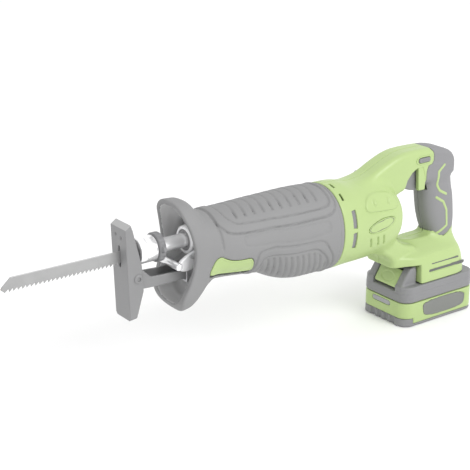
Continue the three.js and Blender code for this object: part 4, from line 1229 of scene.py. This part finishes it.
def aim(obj, place, direction):
    """Stands a lamp or camera at a place, looking along a direction."""
    obj.location = place
    obj.rotation_euler = Vector(direction).to_track_quat("-Z", "Y").to_euler()


def make_stage():
    """A pale floor under a soft white sky, one broad lamp from the front left and the camera."""
    side = np.linspace(-FLOOR_HALF, FLOOR_HALF, FLOOR_LINES)
    a, b = np.meshgrid(side, side, indexing="ij")
    points = np.stack([a, b, 0 * a - FLOOR_DROP], -1).reshape(-1, 3)
    r, c = np.arange(FLOOR_LINES - 1)[:, None], np.arange(FLOOR_LINES - 1)[None, :]
    corner = r * FLOOR_LINES + c
    corners = (corner, corner + FLOOR_LINES, corner + FLOOR_LINES + 1, corner + 1)
    mesh = bpy.data.meshes.new("floor")
    mesh.from_pydata(points.tolist(), [], np.stack(corners, -1).reshape(-1, 4).tolist())
    pale = bpy.data.materials.new("pale floor")
    pale.use_nodes = True
    shader = pale.node_tree.nodes["Principled BSDF"]
    shader.inputs["Base Color"].default_value = (0.95, 0.95, 0.95, 1)
    shader.inputs["Roughness"].default_value = 0.9
    shader.inputs["Specular IOR Level"].default_value = 0.1
    mesh.materials.append(pale)
    floor = link("floor", mesh)

    world = bpy.data.worlds.new("soft sky")
    bpy.context.scene.world = world
    world.use_nodes = True
    sky = world.node_tree.nodes["Background"]
    sky.inputs["Color"].default_value = (1, 1, 1, 1)
    sky.inputs["Strength"].default_value = 1.06

    lamp = bpy.data.lights.new("key", "AREA")
    lamp.energy, lamp.size, lamp.shape = 22, 1.2, "DISK"
    aim(link("key", lamp), LAMP_PLACE, Vector(LAMP_AIM) - Vector(LAMP_PLACE))

    camera = bpy.data.cameras.new("camera")
    camera.lens, camera.sensor_width = 90.93, 36
    obj = link("camera", camera)
    aim(obj, CAMERA_PLACE, -Vector(CAMERA_BACK))
    bpy.context.scene.camera = obj
    bpy.context.scene.view_settings.view_transform = "Standard"


# ------------------------------------------------------------------ the add-on
class SAW_OT_groups(bpy.types.Operator):
    """Build the shared grain and brushed-steel shader groups"""
    bl_idname = "saw.groups"
    bl_label = "Surface grain"

    def execute(self, context):
        group_mould_grain()
        group_brushed()
        return {"FINISHED"}


class SAW_OT_stage(bpy.types.Operator):
    """Set up the floor, the light and the camera"""
    bl_idname = "saw.stage"
    bl_label = "Stage"

    def execute(self, context):
        make_stage()
        return {"FINISHED"}


class SAW_OT_blade(bpy.types.Operator):
    """Build the toothed blade"""
    bl_idname = "saw.blade"
    bl_label = "Blade"

    def execute(self, context):
        make_blade()
        return {"FINISHED"}


class SAW_OT_clamp(bpy.types.Operator):
    """Build the clamp sleeve and its knurled collar"""
    bl_idname = "saw.clamp"
    bl_label = "Blade clamp"

    def execute(self, context):
        make_clamp()
        return {"FINISHED"}


class SAW_OT_shoe(bpy.types.Operator):
    """Build the shoe, its arm, pivot and runner"""
    bl_idname = "saw.shoe"
    bl_label = "Shoe"

    def execute(self, context):
        make_shoe()
        return {"FINISHED"}


class SAW_OT_boot(bpy.types.Operator):
    """Build the rubber boot with its guard, and the release lever in its window"""
    bl_idname = "saw.boot"
    bl_label = "Boot and lever"

    def execute(self, context):
        make_boot()
        make_lever()
        return {"FINISHED"}


class SAW_OT_nose(bpy.types.Operator):
    """Build the gearbox nose, the cross pin and the plunger"""
    bl_idname = "saw.nose"
    bl_label = "Nose and plunger"

    def execute(self, context):
        make_nose()
        make_plunger()
        return {"FINISHED"}


class SAW_OT_screws(bpy.types.Operator):
    """Build the nine screws"""
    bl_idname = "saw.screws"
    bl_label = "Screws"

    def execute(self, context):
        make_screws()
        return {"FINISHED"}


class SAW_OT_housing(bpy.types.Operator):
    """Build the two halves of the housing and the plain badge"""
    bl_idname = "saw.housing"
    bl_label = "Housing"

    def execute(self, context):
        make_housing()
        make_vent_shade_sheets()
        make_badge()
        return {"FINISHED"}


class SAW_OT_grip(bpy.types.Operator):
    """Build the rubber skin on the grip and the green trim"""
    bl_idname = "saw.grip"
    bl_label = "Grip"

    def execute(self, context):
        make_skin()
        make_trim()
        return {"FINISHED"}


class SAW_OT_controls(bpy.types.Operator):
    """Build the trigger and the lock-off button"""
    bl_idname = "saw.controls"
    bl_label = "Controls"

    def execute(self, context):
        make_controls()
        return {"FINISHED"}


class SAW_OT_battery(bpy.types.Operator):
    """Build the battery's shells, bumper, panels, window and latch"""
    bl_idname = "saw.battery"
    bl_label = "Battery"

    def execute(self, context):
        make_battery()
        return {"FINISHED"}


class SAW_OT_inside(bpy.types.Operator):
    """Give the inner pieces their finishes"""
    bl_idname = "saw.inside"
    bl_label = "Inner pieces"

    def execute(self, context):
        finish_inside()
        return {"FINISHED"}


OPERATORS = (
    SAW_OT_groups, SAW_OT_stage, SAW_OT_blade, SAW_OT_clamp, SAW_OT_shoe, SAW_OT_boot, SAW_OT_nose,
    SAW_OT_screws,
    SAW_OT_housing, SAW_OT_grip, SAW_OT_controls, SAW_OT_battery, SAW_OT_inside)


class SAW_PT_panel(bpy.types.Panel):
    """Sizes, colours and one button for each group of pieces"""
    bl_idname = "SAW_PT_panel"
    bl_label = "Reciprocating saw"
    bl_space_type = "VIEW_3D"
    bl_region_type = "UI"
    bl_category = "Saw"

    def draw(self, context):
        for group in (context.scene.saw_sizes, context.scene.saw_finishes):
            for name in group.bl_rna.properties.keys():
                if name not in ("rna_type", "name"):
                    self.layout.prop(group, name)
        for operator in OPERATORS:
            self.layout.operator(operator.bl_idname)


CLASSES = (SawFinishes, SawSizes, *OPERATORS, SAW_PT_panel)


def register():
    for cls in CLASSES:
        bpy.utils.register_class(cls)
    bpy.types.Scene.saw_finishes = bpy.props.PointerProperty(type=SawFinishes)
    bpy.types.Scene.saw_sizes = bpy.props.PointerProperty(type=SawSizes)


def unregister():
    del bpy.types.Scene.saw_finishes
    del bpy.types.Scene.saw_sizes
    for cls in reversed(CLASSES):
        bpy.utils.unregister_class(cls)


def main():
    register()
    for operator in OPERATORS:
        group, name = operator.bl_idname.split(".")
        getattr(getattr(bpy.ops, group), name)()


if __name__ == "__main__":
    main()
